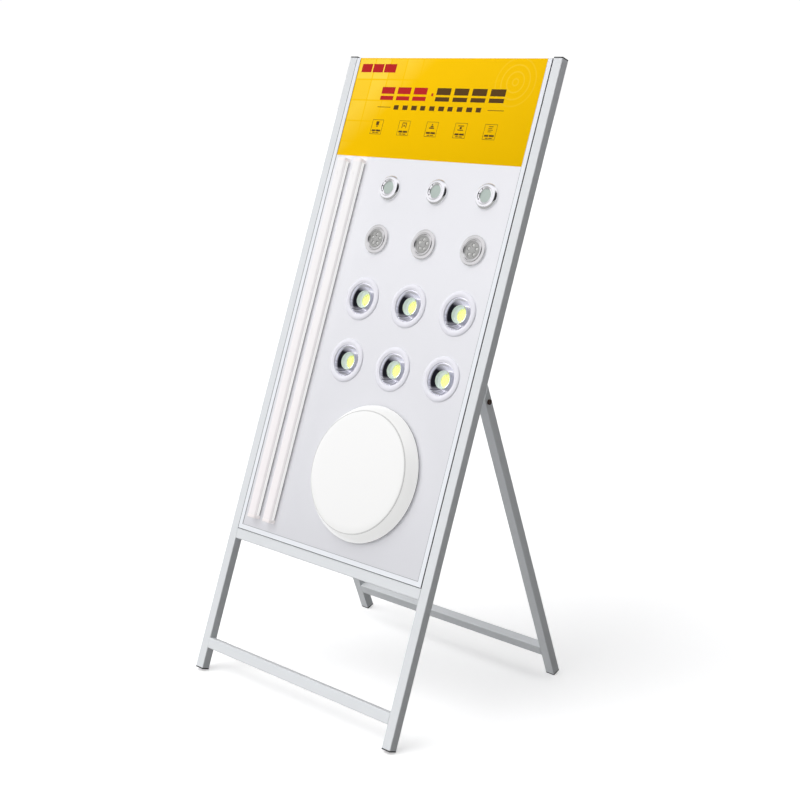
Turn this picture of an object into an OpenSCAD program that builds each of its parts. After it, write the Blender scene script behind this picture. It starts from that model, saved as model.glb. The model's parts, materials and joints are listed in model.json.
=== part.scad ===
// Folding easel-type display stand: a leaning front frame that carries a board of sample
// lights, and a rear leg frame hinged behind the uprights. Millimetres, +Z up, -Y to the front.
// The origin is on the floor, at the middle of the open stand.

/* [Stand] */
// Width across the front uprights
stand_w = 650; // [600:1:800]
// Length of a front upright, end plugs included
upright_len = 1538; // [1500:1:1850]
// Backward lean of the front frame
lean = 20.5; // [16:0.5:25]
// Forward lean of the rear legs
leg_lean = 21; // [16:0.5:25]
// Height of the leg pivots, measured along the uprights
pivot_s = 776; // [640:1:930]

/* [Tube] */
// Width of every frame tube, across the stand
tube_w = 25; // [20:0.5:30]
// Depth of every frame tube, front to back
tube_d = 22; // [18:0.5:28]
// Wall of the frame tubes
tube_wall = 1.2; // [0.8:0.1:2]
// Outer corner radius of the frame tubes
tube_r = 2; // [1.5:0.1:3]

/* [Rails] */
// Underside of the lower rail above the foot, along the uprights
lower_rail_s = 53; // [30:1:120]
// Underside of the panel rail above the foot, along the uprights
panel_rail_s = 326; // [250:1:360]
// Depth of the top rail behind the board
top_rail_d = 15; // [10:0.5:15]
// Underside of the rear crossbar above the leg's end, along the legs
leg_bar_s = 54; // [30:1:140]

/* [End plugs] */
// Thickness of a plug's outer flange
plug_flange = 3; // [1.5:0.1:4]
// Depth of a plug inside its tube
plug_depth = 14; // [8:1:25]

/* [Leg hinge] */
// Distance of the pivot behind the upright's rear face
pivot_back = 16.5; // [15:0.5:24]
// Thickness of the hinge ear
ear_t = 3; // [2:0.5:5]
// End radius of the hinge ear
ear_r = 11; // [8:0.5:12]
// Height of the ear's welded root
ear_root_h = 40; // [24:1:60]
// Diameter of the pivot bolt's shank
bolt_d = 6; // [5:0.5:8]
// Diameter of the pivot bolt's head
bolt_head_d = 12; // [10:0.5:16]
// Height of the pivot bolt's head
bolt_head_h = 3.6; // [2.5:0.1:5]
// Width across the flats of the pivot nut
nut_flats = 10; // [8:0.5:13]
// Height of the pivot nut
nut_h = 6; // [4:0.5:8]
// Outer diameter of the washer between ear and leg
washer_d = 14; // [11:0.5:18]
// Thickness of that washer
washer_t = 0.8; // [0.5:0.1:1.6]

/* [Board] */
// Thickness of the display board
board_t = 5; // [3:0.5:6]
// Drop of the board's top edge below the uprights' tops
board_drop = 4; // [2:0.5:20]
// Height of the printed header at the top of the board
header_h = 245; // [150:1:300]
// Thickness of the printed header sheet
header_t = 0.4; // [0.2:0.1:1]

/* [Edge channel] */
// Width of the channel's front lip
channel_lip = 13; // [10:0.5:20]
// Width of the channel's rear lip
channel_back_lip = 12; // [8:0.5:16]
// Wall of the edge channel
channel_wall = 1.2; // [0.8:0.1:2]
// How far the channel stands in front of the tubes
channel_proud = 1; // [0:0.1:3]
// Diameter of a channel rivet's shank
rivet_d = 2.4; // [2:0.1:3.2]
// Diameter of a channel rivet's head
rivet_head_d = 4.8; // [4:0.1:5]
// Height of a channel rivet's head
rivet_head_h = 1; // [0.6:0.1:1.2]

/* [Battens] */
// Width of a linear batten lamp
batten_w = 27; // [22:0.5:32]
// Height of a batten lamp in front of the board
batten_h = 19; // [17:0.5:26]
// Height of the batten housing's sides in front of the board
batten_side_h = 13; // [10:0.5:15]
// Distance of the first batten's axis from the uprights' inner face
batten_x = 51; // [36:1:60]
// Distance between the two batten axes
batten_pitch = 53.5; // [40:0.5:60]
// Gap between a batten's top and the header
batten_top_gap = 10; // [4:1:60]
// Height of a batten's lower end above the panel rail
batten_foot_gap = 35; // [24:1:90]
// Length of a batten's end cap
batten_cap_l = 8; // [5:0.5:20]

/* [Lamp grid] */
// Distance of the last lamp column from the uprights' inner face
column_x = 88; // [75:0.5:110]
// Distance between lamp columns
column_pitch = 147.5; // [120:0.5:150]
// Drop of the puck row below the header
puck_row = 72; // [50:1:90]
// Drop of the spotlight row below the puck row
spot_row = 124; // [80:1:140]
// Drop of the first downlight row below the spotlight row
downlight_row = 143.5; // [110:0.5:160]
// Distance between the two downlight rows
downlight_pitch = 148.5; // [115:0.5:160]

/* [Puck lights] */
// Outer diameter of a puck light
puck_d = 61; // [50:0.5:80]
// Height of a puck light in front of the board
puck_h = 9; // [7:0.5:14]
// Diameter of its frosted window
puck_window_d = 30; // [24:0.5:34]
// Depth of the window below the puck's front
puck_window_drop = 4; // [2:0.5:5]

/* [Spotlights] */
// Outer diameter of a spotlight's bezel
spot_d = 70; // [60:0.5:90]
// Height of the bezel in front of the board
spot_h = 7; // [5:0.5:9]
// Diameter of the lens plate
spot_face_d = 43; // [34:0.5:48]
// Diameter of each lens in the lens plate
spot_lens_d = 10; // [6:0.5:11]
// Depth of the spotlight's heat sink behind the board
spot_sink_h = 26; // [15:1:50]

/* [Downlights] */
// Outer diameter of a downlight's flange
downlight_d = 103; // [90:0.5:120]
// Height of the flange in front of the board
downlight_h = 4; // [3:0.5:8]
// Mouth diameter of the reflector
reflector_d = 74; // [60:0.5:80]
// Floor diameter of the reflector
reflector_floor_d = 46; // [44:0.5:56]
// Depth of the reflector behind the board's face
reflector_depth = 27; // [20:0.5:40]
// Diameter of the frosted lens
lens_d = 42; // [34:0.5:43]
// Height of the frosted lens
lens_h = 25; // [18:0.5:26]
// Diameter of the light-emitting disc
cob_d = 24; // [12:0.5:26]
// Depth of the downlight's heat sink behind its reflector
sink_h = 18; // [8:0.5:40]

/* [Ceiling lamp] */
// Outer diameter of the ceiling lamp
ceiling_d = 315; // [260:1:340]
// Diameter of its front face
ceiling_face_d = 286; // [230:1:300]
// Height of the ceiling lamp in front of the board
ceiling_h = 42; // [36:1:60]
// Distance of its axis from the uprights' inner face
ceiling_x = 236; // [190:1:280]
// Height of its axis above the panel rail
ceiling_s = 206; // [175:1:240]

/* [Hidden] */

// Clearances
hinge_fit = 0.05;       // radial, bolt in its holes
rivet_fit = 0.05;       // radial, rivets and screws in their holes
leg_side_gap = 1;       // between ear and leg
head_gap = 0.2;         // between bolt head and leg
stop_gap = 0.3;         // between the leg's mitred end and the upright
board_play = 0.2;       // board in the depth of its channel
board_edge_gap = 1.5;   // board edge to the channel's web
sheet_gap = 0.3;        // header sheet to the channel's lip
lamp_fit = 0.3;         // pieces of a lamp inside each other
cut = 1;                // overshoot of a cutting shape
far = 400;              // reach of a half-space cut

// Frame
open_angle = lean + leg_lean;
inner_x = stand_w / 2 - tube_w;
tube_len = upright_len - 2 * plug_flange;
panel_base_s = panel_rail_s + tube_w;
pivot_y = tube_d + pivot_back;
leg_in_x = inner_x + leg_side_gap;
foot_lift = tube_d * sin(lean);
pivot_world_y = pivot_y * cos(lean) + pivot_s * sin(lean);
pivot_world_z = foot_lift + pivot_s * cos(lean) - pivot_y * sin(lean);
leg_reach = (pivot_world_z - tube_d / 2 * sin(leg_lean)) / cos(leg_lean);
back_y = pivot_world_y + leg_reach * sin(leg_lean) + tube_d / 2 * cos(leg_lean);
front_y = -back_y / 2;

// End plugs and hinge
plug_wall = 2;
plug_ribs = [3, 8];
plug_rib_h = 1.5;
ear_clear = 3;
ear_set_in = 2;
bolt_tail = 1;
socket_r = 2.3;
socket_depth = 2;

// Board and channel
channel_slot = board_t + board_play;
channel_d = channel_slot + 2 * channel_wall;
channel_y = -channel_proud;
board_y = channel_y + channel_wall;
board_top_s = upright_len - board_drop;
board_foot_s = panel_base_s + channel_wall + rivet_head_h;
board_half_w = inner_x - channel_wall - board_edge_gap;
header_s = board_top_s - header_h;
channel_len = board_top_s - panel_base_s;
rivet_offset = 0.2;
rivet_y = channel_y + channel_d / 2 + rivet_offset;
rivets_up = 4;
rivets_across = 3;
rivets_spread = 0.6;
rivet_tail = 3;

// Lamp places, as [across, up] in the plane of the board
columns = [for (i = [2:-1:0]) inner_x - column_x - i * column_pitch];
puck_s = header_s - puck_row;
spot_s = puck_s - spot_row;
downlight_rows = [for (i = [0:1]) spot_s - downlight_row - i * downlight_pitch];
puck_places = [for (x = columns) [x, puck_s]];
spot_places = [for (x = columns) [x, spot_s]];
downlight_places = [for (s = downlight_rows, x = columns) [x, s]];
batten_places = [for (i = [0:1]) -inner_x + batten_x + i * batten_pitch];
batten_s = panel_base_s + batten_foot_gap;
batten_len = header_s - batten_top_gap - batten_s;
ceiling_place = [inner_x - ceiling_x, panel_base_s + ceiling_s];

// Battens
clip_t = 1.2;
clip_l = 16;
clip_inset = 90;
clip_arm = 3;
foot_half_w = batten_w / 2 - 1.5;
housing_wall = 1.2;
housing_z = clip_arm + lamp_fit;
strip_t = 1.2;
strip_w = 12;
cover_wall = 1.2;
cover_step = 0.5;
cover_corner = 4;
cover_snap = 4;
screw_d = 3;
screw_head_d = 5.6;
screw_len = 11;

// Puck lights
puck_wall = 1.5;
puck_plate_t = 1.6;
puck_rim_h = 5.5;
puck_mouth_d = puck_window_d + 10;
puck_window_t = 2;
puck_window_z = puck_h - puck_window_drop;
puck_screw_r = 19;
puck_marks = [130, 170, 210];
puck_mark_r = (puck_window_d + puck_mouth_d) / 4;
puck_mark_d = 2.2;
puck_edge = 1;
puck_crown = 0.4;
puck_lip_w = 2.5;

// Spotlights
spot_rim_h = 5;
spot_undercut = 3;
spot_inner_d = spot_face_d + 7;
spot_plate_t = 3;
spot_plate_z = 1.2;
spot_body_d = spot_face_d + 5;
spot_hole_d = spot_body_d + 3;
spot_lens_ring = 11.5;
spot_lens_n = 5;
spot_lens_gap = 0.5;
spot_lens_draft = 0.8;
spot_edge = 0.8;
spot_lip = 1;
spot_groove_first = 3;
spot_groove_pitch = 4;
spot_groove_w = 2;
spot_groove_depth = 5;

// Downlights
collar_d = reflector_d + 10;
downlight_hole_d = collar_d + 3;
collar_depth = 10;
reflector_wall = 1;
sink_floor = 4;
cob_t = 2.4;
cob_base_d = 28;
fin_n = 20;
fin_gap = 4.5;
fin_root_r = 20;
sink_shoulder = 5;
sink_step = 3;
flange_round = 8.5;
flange_edge = 0.8;
flange_lip = 1.8;
flange_fit = 0.5;
lens_round = 3;
lens_crown = 0.5;
lens_air = 1;
phosphor_t = 0.8;

// Retaining springs of the recessed lamps
spring_w = 9;
spring_t = 0.9;
spring_drop = 13;
spring_reach = 15;
spring_hook = 4;
spring_pad = 5;

// Ceiling lamp
ceiling_wall = 2;
ceiling_base_h = 8;
ceiling_sheet = 1.2;
ceiling_lift = 3;
ceiling_edge_r = 5;
ceiling_bulge = 6;
base_lip_w = 6;
base_lip_t = 2;
ceiling_screw_r = 120;
ceiling_screw_n = 3;
led_panel_t = 1.6;

$fn = 64;

// ---- placing ----

// Front frame: x across, y to the rear from the tubes' front face, z up the uprights
module panel_frame()
    translate([0, front_y, foot_lift]) rotate([-lean, 0, 0]) children();

// Rear frame: x across, y to the rear from the tubes' middle, z up the legs from the pivots
module leg_frame()
    translate([0, front_y + pivot_world_y, pivot_world_z]) rotate([leg_lean, 0, 0]) children();

// Left-hand shape, or its mirror image on the right
module on_side(side)
    mirror([side > 0 ? 1 : 0, 0, 0]) children();

// Lamp seat: z out of the board's face, y up the board
module on_board(place)
    panel_frame() translate([place[0], board_y, place[1]]) rotate([90, 0, 0]) children();

module on_boards(places)
    for (place = places) on_board(place) children();

// ---- shared shapes ----

module rounded_rect(w, d, r) {
    square([w - 2 * r, d], center = true);
    square([w, d - 2 * r], center = true);
    for (x = [-1, 1], y = [-1, 1])
        translate([x * (w / 2 - r), y * (d / 2 - r)]) circle(r, $fn = 24);
}

module tube(len)
    linear_extrude(len) difference() {
        rounded_rect(tube_w, tube_d, tube_r);
        rounded_rect(tube_w - 2 * tube_wall, tube_d - 2 * tube_wall, tube_r - tube_wall / 2);
    }

// Plug for a tube's end, flange down at z = 0 and its hollow insert upwards
module end_plug() {
    in_w = tube_w - 2 * tube_wall;
    in_d = tube_d - 2 * tube_wall;
    linear_extrude(plug_flange) rounded_rect(tube_w, tube_d, tube_r);
    translate([0, 0, plug_flange]) linear_extrude(plug_depth) difference() {
        square([in_w - 2 * tube_r, in_d - 2 * tube_r], center = true);
        square([in_w - 2 * tube_r - 2 * plug_wall, in_d - 2 * tube_r - 2 * plug_wall], center = true);
    }
    // Gripping ribs that touch the tube's walls
    for (z = plug_ribs)
        translate([0, 0, plug_flange + z]) linear_extrude(plug_rib_h) difference() {
            rounded_rect(in_w, in_d, tube_r - tube_wall / 2);
            square([in_w - 2 * tube_r - plug_wall, in_d - 2 * tube_r - plug_wall], center = true);
        }
}

// Rail of the front frame between the uprights' inner faces, underside at height s
module rail(s)
    panel_frame() translate([-inner_x, tube_d / 2, s + tube_w / 2])
        rotate([0, 90, 0]) tube(2 * inner_x);

// U-shaped edge channel: x from its web into the board, z along its length.
// Its lower end is mitred, and its upper end too when both_ends is true.
module channel(len, both_ends) {
    difference() {
        translate([0, channel_y, 0]) linear_extrude(len) difference() {
            square([channel_lip, channel_d]);
            translate([channel_wall, channel_wall]) square([channel_lip, channel_slot]);
            translate([channel_back_lip, channel_wall]) square([channel_lip, channel_d]);
        }
        mitre_cut();
        if (both_ends)
            translate([0, 0, len]) mirror([0, 0, 1]) mitre_cut();
    }
}

module mitre_cut()
    rotate([0, -45, 0]) translate([-cut, -channel_d, -far]) cube([far, 3 * channel_d, far]);

// Rivet along z: head from 0 down, shank from 0 up
module rivet() {
    translate([0, 0, -rivet_head_h]) cylinder(d = rivet_head_d, h = rivet_head_h);
    cylinder(d = rivet_d, h = channel_wall + tube_wall + rivet_tail);
}

function rivet_s(i) = panel_base_s + (i + 0.5) * channel_len / rivets_up;
function rivet_x(i) = (i - (rivets_across - 1) / 2) * inner_x * rivets_spread;

// Rivets of the left-hand channel, pointing out into the upright
module side_rivets()
    for (i = [0:rivets_up - 1])
        translate([-inner_x + channel_wall, rivet_y, rivet_s(i)]) rotate([0, -90, 0]) children();

// Rivets of the bottom channel, pointing down into the panel rail
module bottom_rivets()
    for (i = [0:rivets_across - 1])
        translate([rivet_x(i), rivet_y, panel_base_s + channel_wall])
            rotate([180, 0, 0]) children();

module rivet_hole()
    translate([0, 0, -cut]) cylinder(d = rivet_d + 2 * rivet_fit, h = channel_wall + tube_wall + 2 * cut);

// Countersunk screw with its head's face at z = 0, pointing down
module flat_screw(head_h) {
    translate([0, 0, -head_h]) cylinder(d1 = screw_d, d2 = screw_head_d, h = head_h);
    translate([0, 0, -screw_len]) cylinder(d = screw_d, h = screw_len - head_h);
}

// Flat strip spring that hooks on a lamp's side at -x and presses on the board's rear face
module strip_spring(hub_r) {
    rear = -board_t;
    rotate([90, 0, 0]) translate([0, 0, -spring_w / 2]) linear_extrude(spring_w) polygon([
        [hub_r, rear - spring_drop - spring_hook],
        [hub_r + spring_t, rear - spring_drop - spring_hook],
        [hub_r + spring_t, rear - spring_drop],
        [hub_r + spring_reach, rear - spring_t],
        [hub_r + spring_reach + spring_pad, rear - spring_t],
        [hub_r + spring_reach + spring_pad, rear],
        [hub_r + spring_reach - spring_t, rear],
        [hub_r, rear - spring_drop + spring_t]
    ]);
}

// ---- front frame ----

module upright()
    difference() {
        panel_frame() translate([-stand_w / 2 + tube_w / 2, tube_d / 2, plug_flange]) tube(tube_len);
        panel_frame() side_rivets() rivet_hole();
    }

module left_upright() color("whitesmoke") on_side(-1) upright();
module right_upright() color("whitesmoke") on_side(1) upright();

module top_rail()
    color("whitesmoke") panel_frame()
        translate([-inner_x, channel_y + channel_d, board_top_s - tube_w])
            difference() {
                cube([2 * inner_x, top_rail_d, tube_w]);
                translate([-cut, tube_wall, tube_wall])
                    cube([2 * inner_x + 2 * cut, top_rail_d - 2 * tube_wall, tube_w - 2 * tube_wall]);
            }

module panel_rail()
    color("whitesmoke") difference() {
        rail(panel_rail_s);
        panel_frame() bottom_rivets() rivet_hole();
    }

module lower_rail() color("whitesmoke") rail(lower_rail_s);

module top_plugs()
    color("black") for (side = [-1, 1])
        panel_frame() on_side(side)
            translate([-stand_w / 2 + tube_w / 2, tube_d / 2, upright_len]) mirror([0, 0, 1]) end_plug();

module front_foot_plugs()
    color("black") for (side = [-1, 1])
        panel_frame() on_side(side)
            translate([-stand_w / 2 + tube_w / 2, tube_d / 2, 0]) end_plug();

// ---- leg hinge ----

// Pivot axis on the left-hand side, z from the upright's inner face outwards
module at_pivot(side)
    panel_frame() on_side(side) translate([-inner_x, pivot_y, pivot_s]) rotate([0, -90, 0]) children();

module hinge_ears() {
    root_y = channel_d + ear_clear;
    color("whitesmoke") for (side = [-1, 1])
        at_pivot(side) difference() {
            union() {
                translate([0, 0, -ear_t]) cylinder(r = ear_r, h = ear_t);
                // Welded root on the upright's inner face; x runs up the upright here
                translate([-ear_r, root_y - pivot_y, -ear_t])
                    cube([2 * ear_r, pivot_y - root_y, ear_t]);
                translate([-ear_root_h / 2, root_y - pivot_y, -ear_t])
                    cube([ear_root_h, tube_d - ear_set_in - root_y, ear_t]);
            }
            translate([0, 0, -ear_t - cut]) cylinder(d = bolt_d + 2 * hinge_fit, h = ear_t + 2 * cut);
        }
}

module pivot_bolts() {
    reach = ear_t + nut_h + bolt_tail;
    color("black") for (side = [-1, 1])
        at_pivot(side) {
            translate([0, 0, -reach]) cylinder(d = bolt_d, h = reach + leg_side_gap + tube_w + head_gap);
            translate([0, 0, leg_side_gap + tube_w + head_gap]) difference() {
                cylinder(d = bolt_head_d, h = bolt_head_h);
                translate([0, 0, bolt_head_h - socket_depth])
                    cylinder(r = socket_r, h = socket_depth + cut, $fn = 6);
            }
        }
}

module pivot_washers()
    color("silver") for (side = [-1, 1])
        at_pivot(side) difference() {
            cylinder(d = washer_d, h = washer_t);
            translate([0, 0, -cut]) cylinder(d = bolt_d + 2 * hinge_fit, h = washer_t + 2 * cut);
        }

module pivot_nuts()
    color("silver") for (side = [-1, 1])
        at_pivot(side) translate([0, 0, -ear_t - nut_h]) difference() {
            cylinder(d = nut_flats / cos(30), h = nut_h, $fn = 6);
            translate([0, 0, -cut]) cylinder(d = bolt_d + 2 * hinge_fit, h = nut_h + 2 * cut);
        }

// ---- board and edge channels ----

module side_channel()
    difference() {
        panel_frame() translate([-inner_x, 0, panel_base_s]) channel(channel_len, false);
        panel_frame() side_rivets() rivet_hole();
    }

module left_channel() color("gainsboro") on_side(-1) side_channel();
module right_channel() color("gainsboro") on_side(1) side_channel();

module bottom_channel()
    color("gainsboro") difference() {
        panel_frame() translate([inner_x, 0, panel_base_s]) rotate([0, -90, 0])
            channel(2 * inner_x, true);
        panel_frame() bottom_rivets() rivet_hole();
    }

module channel_rivets()
    color("silver") {
        for (side = [-1, 1]) panel_frame() on_side(side) side_rivets() rivet();
        panel_frame() bottom_rivets() rivet();
    }

module lamp_hole(d)
    translate([0, 0, -board_t - cut]) cylinder(d = d, h = board_t + 2 * cut);

module display_board()
    color("lavender") difference() {
        panel_frame() translate([-board_half_w, board_y, board_foot_s])
            cube([2 * board_half_w, board_t, board_top_s - board_foot_s]);
        on_boards(spot_places) lamp_hole(spot_hole_d);
        on_boards(downlight_places) lamp_hole(downlight_hole_d);
        on_boards(clip_places) lamp_hole(screw_d + 2 * rivet_fit);
        on_boards(puck_places) puck_screw_places() lamp_hole(screw_d + 2 * rivet_fit);
        on_board(ceiling_place) ceiling_screw_places() lamp_hole(screw_d + 2 * rivet_fit);
    }

module header_sheet() {
    half_w = inner_x - channel_lip - sheet_gap;
    color("gold") panel_frame() translate([-half_w, board_y - header_t, header_s])
        cube([2 * half_w, header_t, header_h]);
}

// ---- batten lamps ----

clip_places = [
    for (x = batten_places, s = [batten_s + clip_inset, batten_s + batten_len - clip_inset]) [x, s]
];

// Bar section in the plane z = 0, from y = low to y = high, with a rounded front
module domed_bar(half_w, low, high, r)
    difference() {
        union() {
            translate([-half_w, low]) square([2 * half_w, high - r - low]);
            translate([-half_w + r, low]) square([2 * (half_w - r), high - low]);
            for (x = [-1, 1]) translate([x * (half_w - r), high - r]) circle(r, $fn = 48);
        }
        translate([-2 * half_w, low - far]) square([4 * half_w, far]);
    }

// Batten section, stood up along the board
module on_batten(s)
    on_boards([for (x = batten_places) [x, s]]) rotate([90, 0, 180]) mirror([1, 0, 0]) children();

// Trough on a narrower foot, which leaves the clips their room
module batten_housings() {
    in_w = batten_w / 2 - housing_wall;
    foot_in_w = foot_half_w - housing_wall;
    color("white") on_batten(batten_s + batten_cap_l) linear_extrude(batten_len - 2 * batten_cap_l)
        difference() {
            union() {
                translate([-batten_w / 2, housing_z]) square([batten_w, batten_side_h - housing_z]);
                translate([-foot_half_w, clip_t]) square([2 * foot_half_w, housing_z]);
            }
            translate([-in_w, housing_z + housing_wall]) square([2 * in_w, batten_h]);
            translate([-foot_in_w, clip_t + housing_wall]) square([2 * foot_in_w, batten_h]);
        }
}

module batten_led_strips()
    color("ivory") on_batten(batten_s + batten_cap_l) linear_extrude(batten_len - 2 * batten_cap_l)
        translate([-strip_w / 2, clip_t + housing_wall]) square([strip_w, strip_t]);

// Cover on the housing's edges, with two legs that snap inside
module batten_covers() {
    half_w = batten_w / 2 - cover_step;
    leg_out = batten_w / 2 - housing_wall - lamp_fit;
    color("mistyrose") on_batten(batten_s + batten_cap_l) linear_extrude(batten_len - 2 * batten_cap_l) {
        difference() {
            domed_bar(half_w, batten_side_h, batten_h, cover_corner);
            domed_bar(half_w - cover_wall, batten_side_h - cut, batten_h - cover_wall,
                cover_corner - cover_wall);
        }
        for (x = [-leg_out, leg_out - cover_wall])
            translate([x, batten_side_h - cover_snap]) square([cover_wall, cover_snap + cover_wall]);
    }
}

module batten_end_caps()
    color("white") for (s = [batten_s, batten_s + batten_len - batten_cap_l])
        on_batten(s) linear_extrude(batten_cap_l) domed_bar(batten_w / 2, 0, batten_h, cover_corner);

module batten_clips() {
    half = foot_half_w + clip_t;
    color("silver") on_boards(clip_places) difference() {
        rotate([90, 0, 0]) translate([0, 0, -clip_l / 2]) linear_extrude(clip_l) difference() {
            translate([-half, 0]) square([2 * half, clip_arm]);
            translate([-foot_half_w, clip_t]) square([2 * foot_half_w, clip_arm]);
        }
        translate([0, 0, -cut]) cylinder(d = screw_d + 2 * rivet_fit, h = clip_t + 2 * cut);
        cylinder(d1 = screw_d, d2 = screw_head_d + 2 * rivet_fit, h = clip_t);
    }
}

module clip_screws()
    color("silver") on_boards(clip_places) translate([0, 0, clip_t]) flat_screw(clip_t);

// ---- puck lights ----

module puck_screw_places()
    for (a = [90, 270]) rotate(a) translate([puck_screw_r, 0]) children();

module puck_bodies() {
    rim = puck_d / 2;
    mouth = puck_mouth_d / 2;
    window = puck_window_d / 2;
    color("silver") on_boards(puck_places) difference() {
        rotate_extrude() polygon([
            [rim, 0], [rim, puck_rim_h], [rim - puck_edge, puck_rim_h + puck_edge],
            [mouth + puck_lip_w, puck_h - puck_crown], [mouth + puck_lip_w - puck_edge, puck_h],
            [mouth, puck_h - puck_crown], [window, puck_window_z + puck_crown],
            [window, puck_window_z], [mouth - puck_crown, puck_window_z],
            [rim - puck_wall - puck_edge, puck_rim_h + puck_edge - puck_wall],
            [rim - puck_wall, puck_rim_h - puck_wall], [rim - puck_wall, 0]
        ]);
        for (a = puck_marks)
            rotate(a) translate([puck_mark_r, 0, puck_window_z - cut])
                cylinder(d = puck_mark_d, h = puck_window_drop + 2 * cut);
    }
}

module puck_windows()
    color("lightgray") on_boards(puck_places)
        translate([0, 0, puck_window_z - puck_window_t])
            cylinder(d = (puck_window_d + puck_mouth_d) / 2, h = puck_window_t);

module puck_led_plates()
    color("white") on_boards(puck_places) difference() {
        cylinder(d = puck_d - 2 * puck_wall - 2 * lamp_fit, h = puck_plate_t);
        puck_screw_places() translate([0, 0, -cut]) cylinder(d = screw_d + 2 * rivet_fit, h = 3 * cut);
        puck_screw_places() cylinder(d1 = screw_d, d2 = screw_head_d + 2 * rivet_fit, h = puck_plate_t);
    }

module puck_screws()
    color("silver") on_boards(puck_places) puck_screw_places()
        translate([0, 0, puck_plate_t]) flat_screw(puck_plate_t);

// ---- spotlights ----

module spot_bezels() {
    rim = spot_d / 2;
    inner = spot_inner_d / 2;
    face = spot_face_d / 2;
    color("silver") on_boards(spot_places) rotate_extrude() polygon([
        [rim - spot_undercut, 0], [rim - spot_edge, spot_rim_h - 3 * spot_edge],
        [rim, spot_rim_h - 2 * spot_edge], [rim, spot_rim_h - spot_edge],
        [rim - spot_edge, spot_rim_h], [inner + 3 * spot_edge, spot_h - spot_edge],
        [inner + spot_lip, spot_h], [inner - spot_lip, spot_h],
        [face - spot_lip, spot_h - spot_lip], [face - spot_lip, spot_plate_z + spot_plate_t],
        [face + lamp_fit, spot_plate_z + spot_plate_t],
        [face + lamp_fit, 0]
    ]);
}

module spot_lens_plates() {
    lens_foot = spot_lens_d - 2 * spot_lens_gap;
    color("dimgray") on_boards(spot_places) {
        difference() {
            cylinder(d = spot_face_d, h = spot_plate_z + spot_plate_t);
            for (i = [0:spot_lens_n - 1])
                rotate(90 + i * 360 / spot_lens_n) translate([spot_lens_ring, 0, spot_plate_z])
                    cylinder(d = spot_lens_d, h = spot_plate_t + cut, $fn = 32);
        }
        for (i = [0:spot_lens_n - 1])
            rotate(90 + i * 360 / spot_lens_n) translate([spot_lens_ring, 0, spot_plate_z])
                cylinder(d1 = lens_foot, d2 = lens_foot - 2 * spot_lens_draft, h = spot_plate_t, $fn = 32);
    }
}

module spot_heat_sinks() {
    rim = spot_body_d / 2;
    color("silver") on_boards(spot_places) rotate_extrude() polygon(concat(
        [[0, 0], [rim, 0]],
        [for (z = [board_t + spot_groove_first:spot_groove_pitch:spot_sink_h - spot_groove_pitch])
            each [[rim, -z], [rim - spot_groove_depth, -z],
                  [rim - spot_groove_depth, -z - spot_groove_w], [rim, -z - spot_groove_w]]],
        [[rim, -spot_sink_h], [0, -spot_sink_h]]
    ));
}

module spot_springs()
    color("gray") on_boards(spot_places) for (a = [0, 180])
        rotate(a) strip_spring(spot_body_d / 2);

// ---- downlights ----

module downlight_flanges() {
    rim = downlight_d / 2;
    mouth = reflector_d / 2;
    collar = collar_d / 2;
    top = downlight_h;
    crown = [for (a = [0:22.5:90])
        [rim - flange_round * (1 - cos(a)), flange_edge + (top - flange_edge) * sin(a)]];
    color("white") on_boards(downlight_places) rotate_extrude() polygon(concat(
        [[rim, 0]], crown,
        [[mouth + flange_lip, top - flange_edge], [mouth + flange_fit, top - flange_lip],
         [mouth + flange_fit, -collar_depth], [collar, -collar_depth], [collar, 0]]
    ));
}

// Inside radius of the reflector at depth z below the flange's mouth, a quarter ellipse
function bowl_r(z) =
    reflector_floor_d / 2 + (reflector_d - reflector_floor_d) / 2
        * sqrt(max(0, 1 - pow(z / reflector_depth, 2)));

module downlight_reflectors() {
    steps = 8;
    depths = [for (i = [0:steps]) reflector_depth * sin(i * 90 / steps)];
    color("silver") on_boards(downlight_places) rotate_extrude() polygon(concat(
        [for (z = depths) [bowl_r(z) - reflector_wall, -z]],
        [for (i = [steps:-1:0]) [bowl_r(depths[i]), -depths[i]]]
    ));
}

module downlight_lenses() {
    r = lens_d / 2;
    recess = cob_base_d / 2 + lamp_fit;
    edge = [for (a = [0:22.5:90])
        [r - lens_round * (1 - cos(a)), lens_h - lens_crown - lens_round * (1 - sin(a))]];
    color("honeydew") on_boards(downlight_places) translate([0, 0, -reflector_depth])
        rotate_extrude() polygon(concat(
            [[recess, 0], [r, 0]], edge,
            [[0, lens_h], [0, cob_t + lens_air], [recess, cob_t + lens_air]]
        ));
}

module downlight_cobs()
    color("gold") on_boards(downlight_places) translate([0, 0, -reflector_depth]) {
        cylinder(d = cob_base_d, h = cob_t - phosphor_t);
        translate([0, 0, cob_t - phosphor_t]) cylinder(d = cob_d, h = phosphor_t);
    }

module downlight_heat_sinks() {
    collar = collar_d / 2;
    cup = reflector_d / 2 + lamp_fit;
    floor_z = reflector_depth;
    end_z = floor_z + sink_floor + sink_h;
    color("gainsboro") on_boards(downlight_places) difference() {
        rotate_extrude() polygon([
            [0, -floor_z], [cup, -floor_z], [cup, -collar_depth], [collar, -collar_depth],
            [collar, -collar_depth - sink_shoulder], [collar - sink_step, -collar_depth - sink_shoulder],
            [collar - sink_step, -end_z], [0, -end_z]
        ]);
        for (i = [0:fin_n - 1])
            rotate(i * 360 / fin_n) translate([fin_root_r, -fin_gap / 2, -end_z - cut])
                cube([collar, fin_gap, sink_h + cut]);
    }
}

module downlight_springs()
    color("gray") on_boards(downlight_places) for (a = [0, 180])
        rotate(a) strip_spring(collar_d / 2);

// ---- ceiling lamp ----

module ceiling_screw_places()
    for (i = [0:ceiling_screw_n - 1])
        rotate(90 + i * 360 / ceiling_screw_n) translate([ceiling_screw_r, 0]) children();

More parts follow.
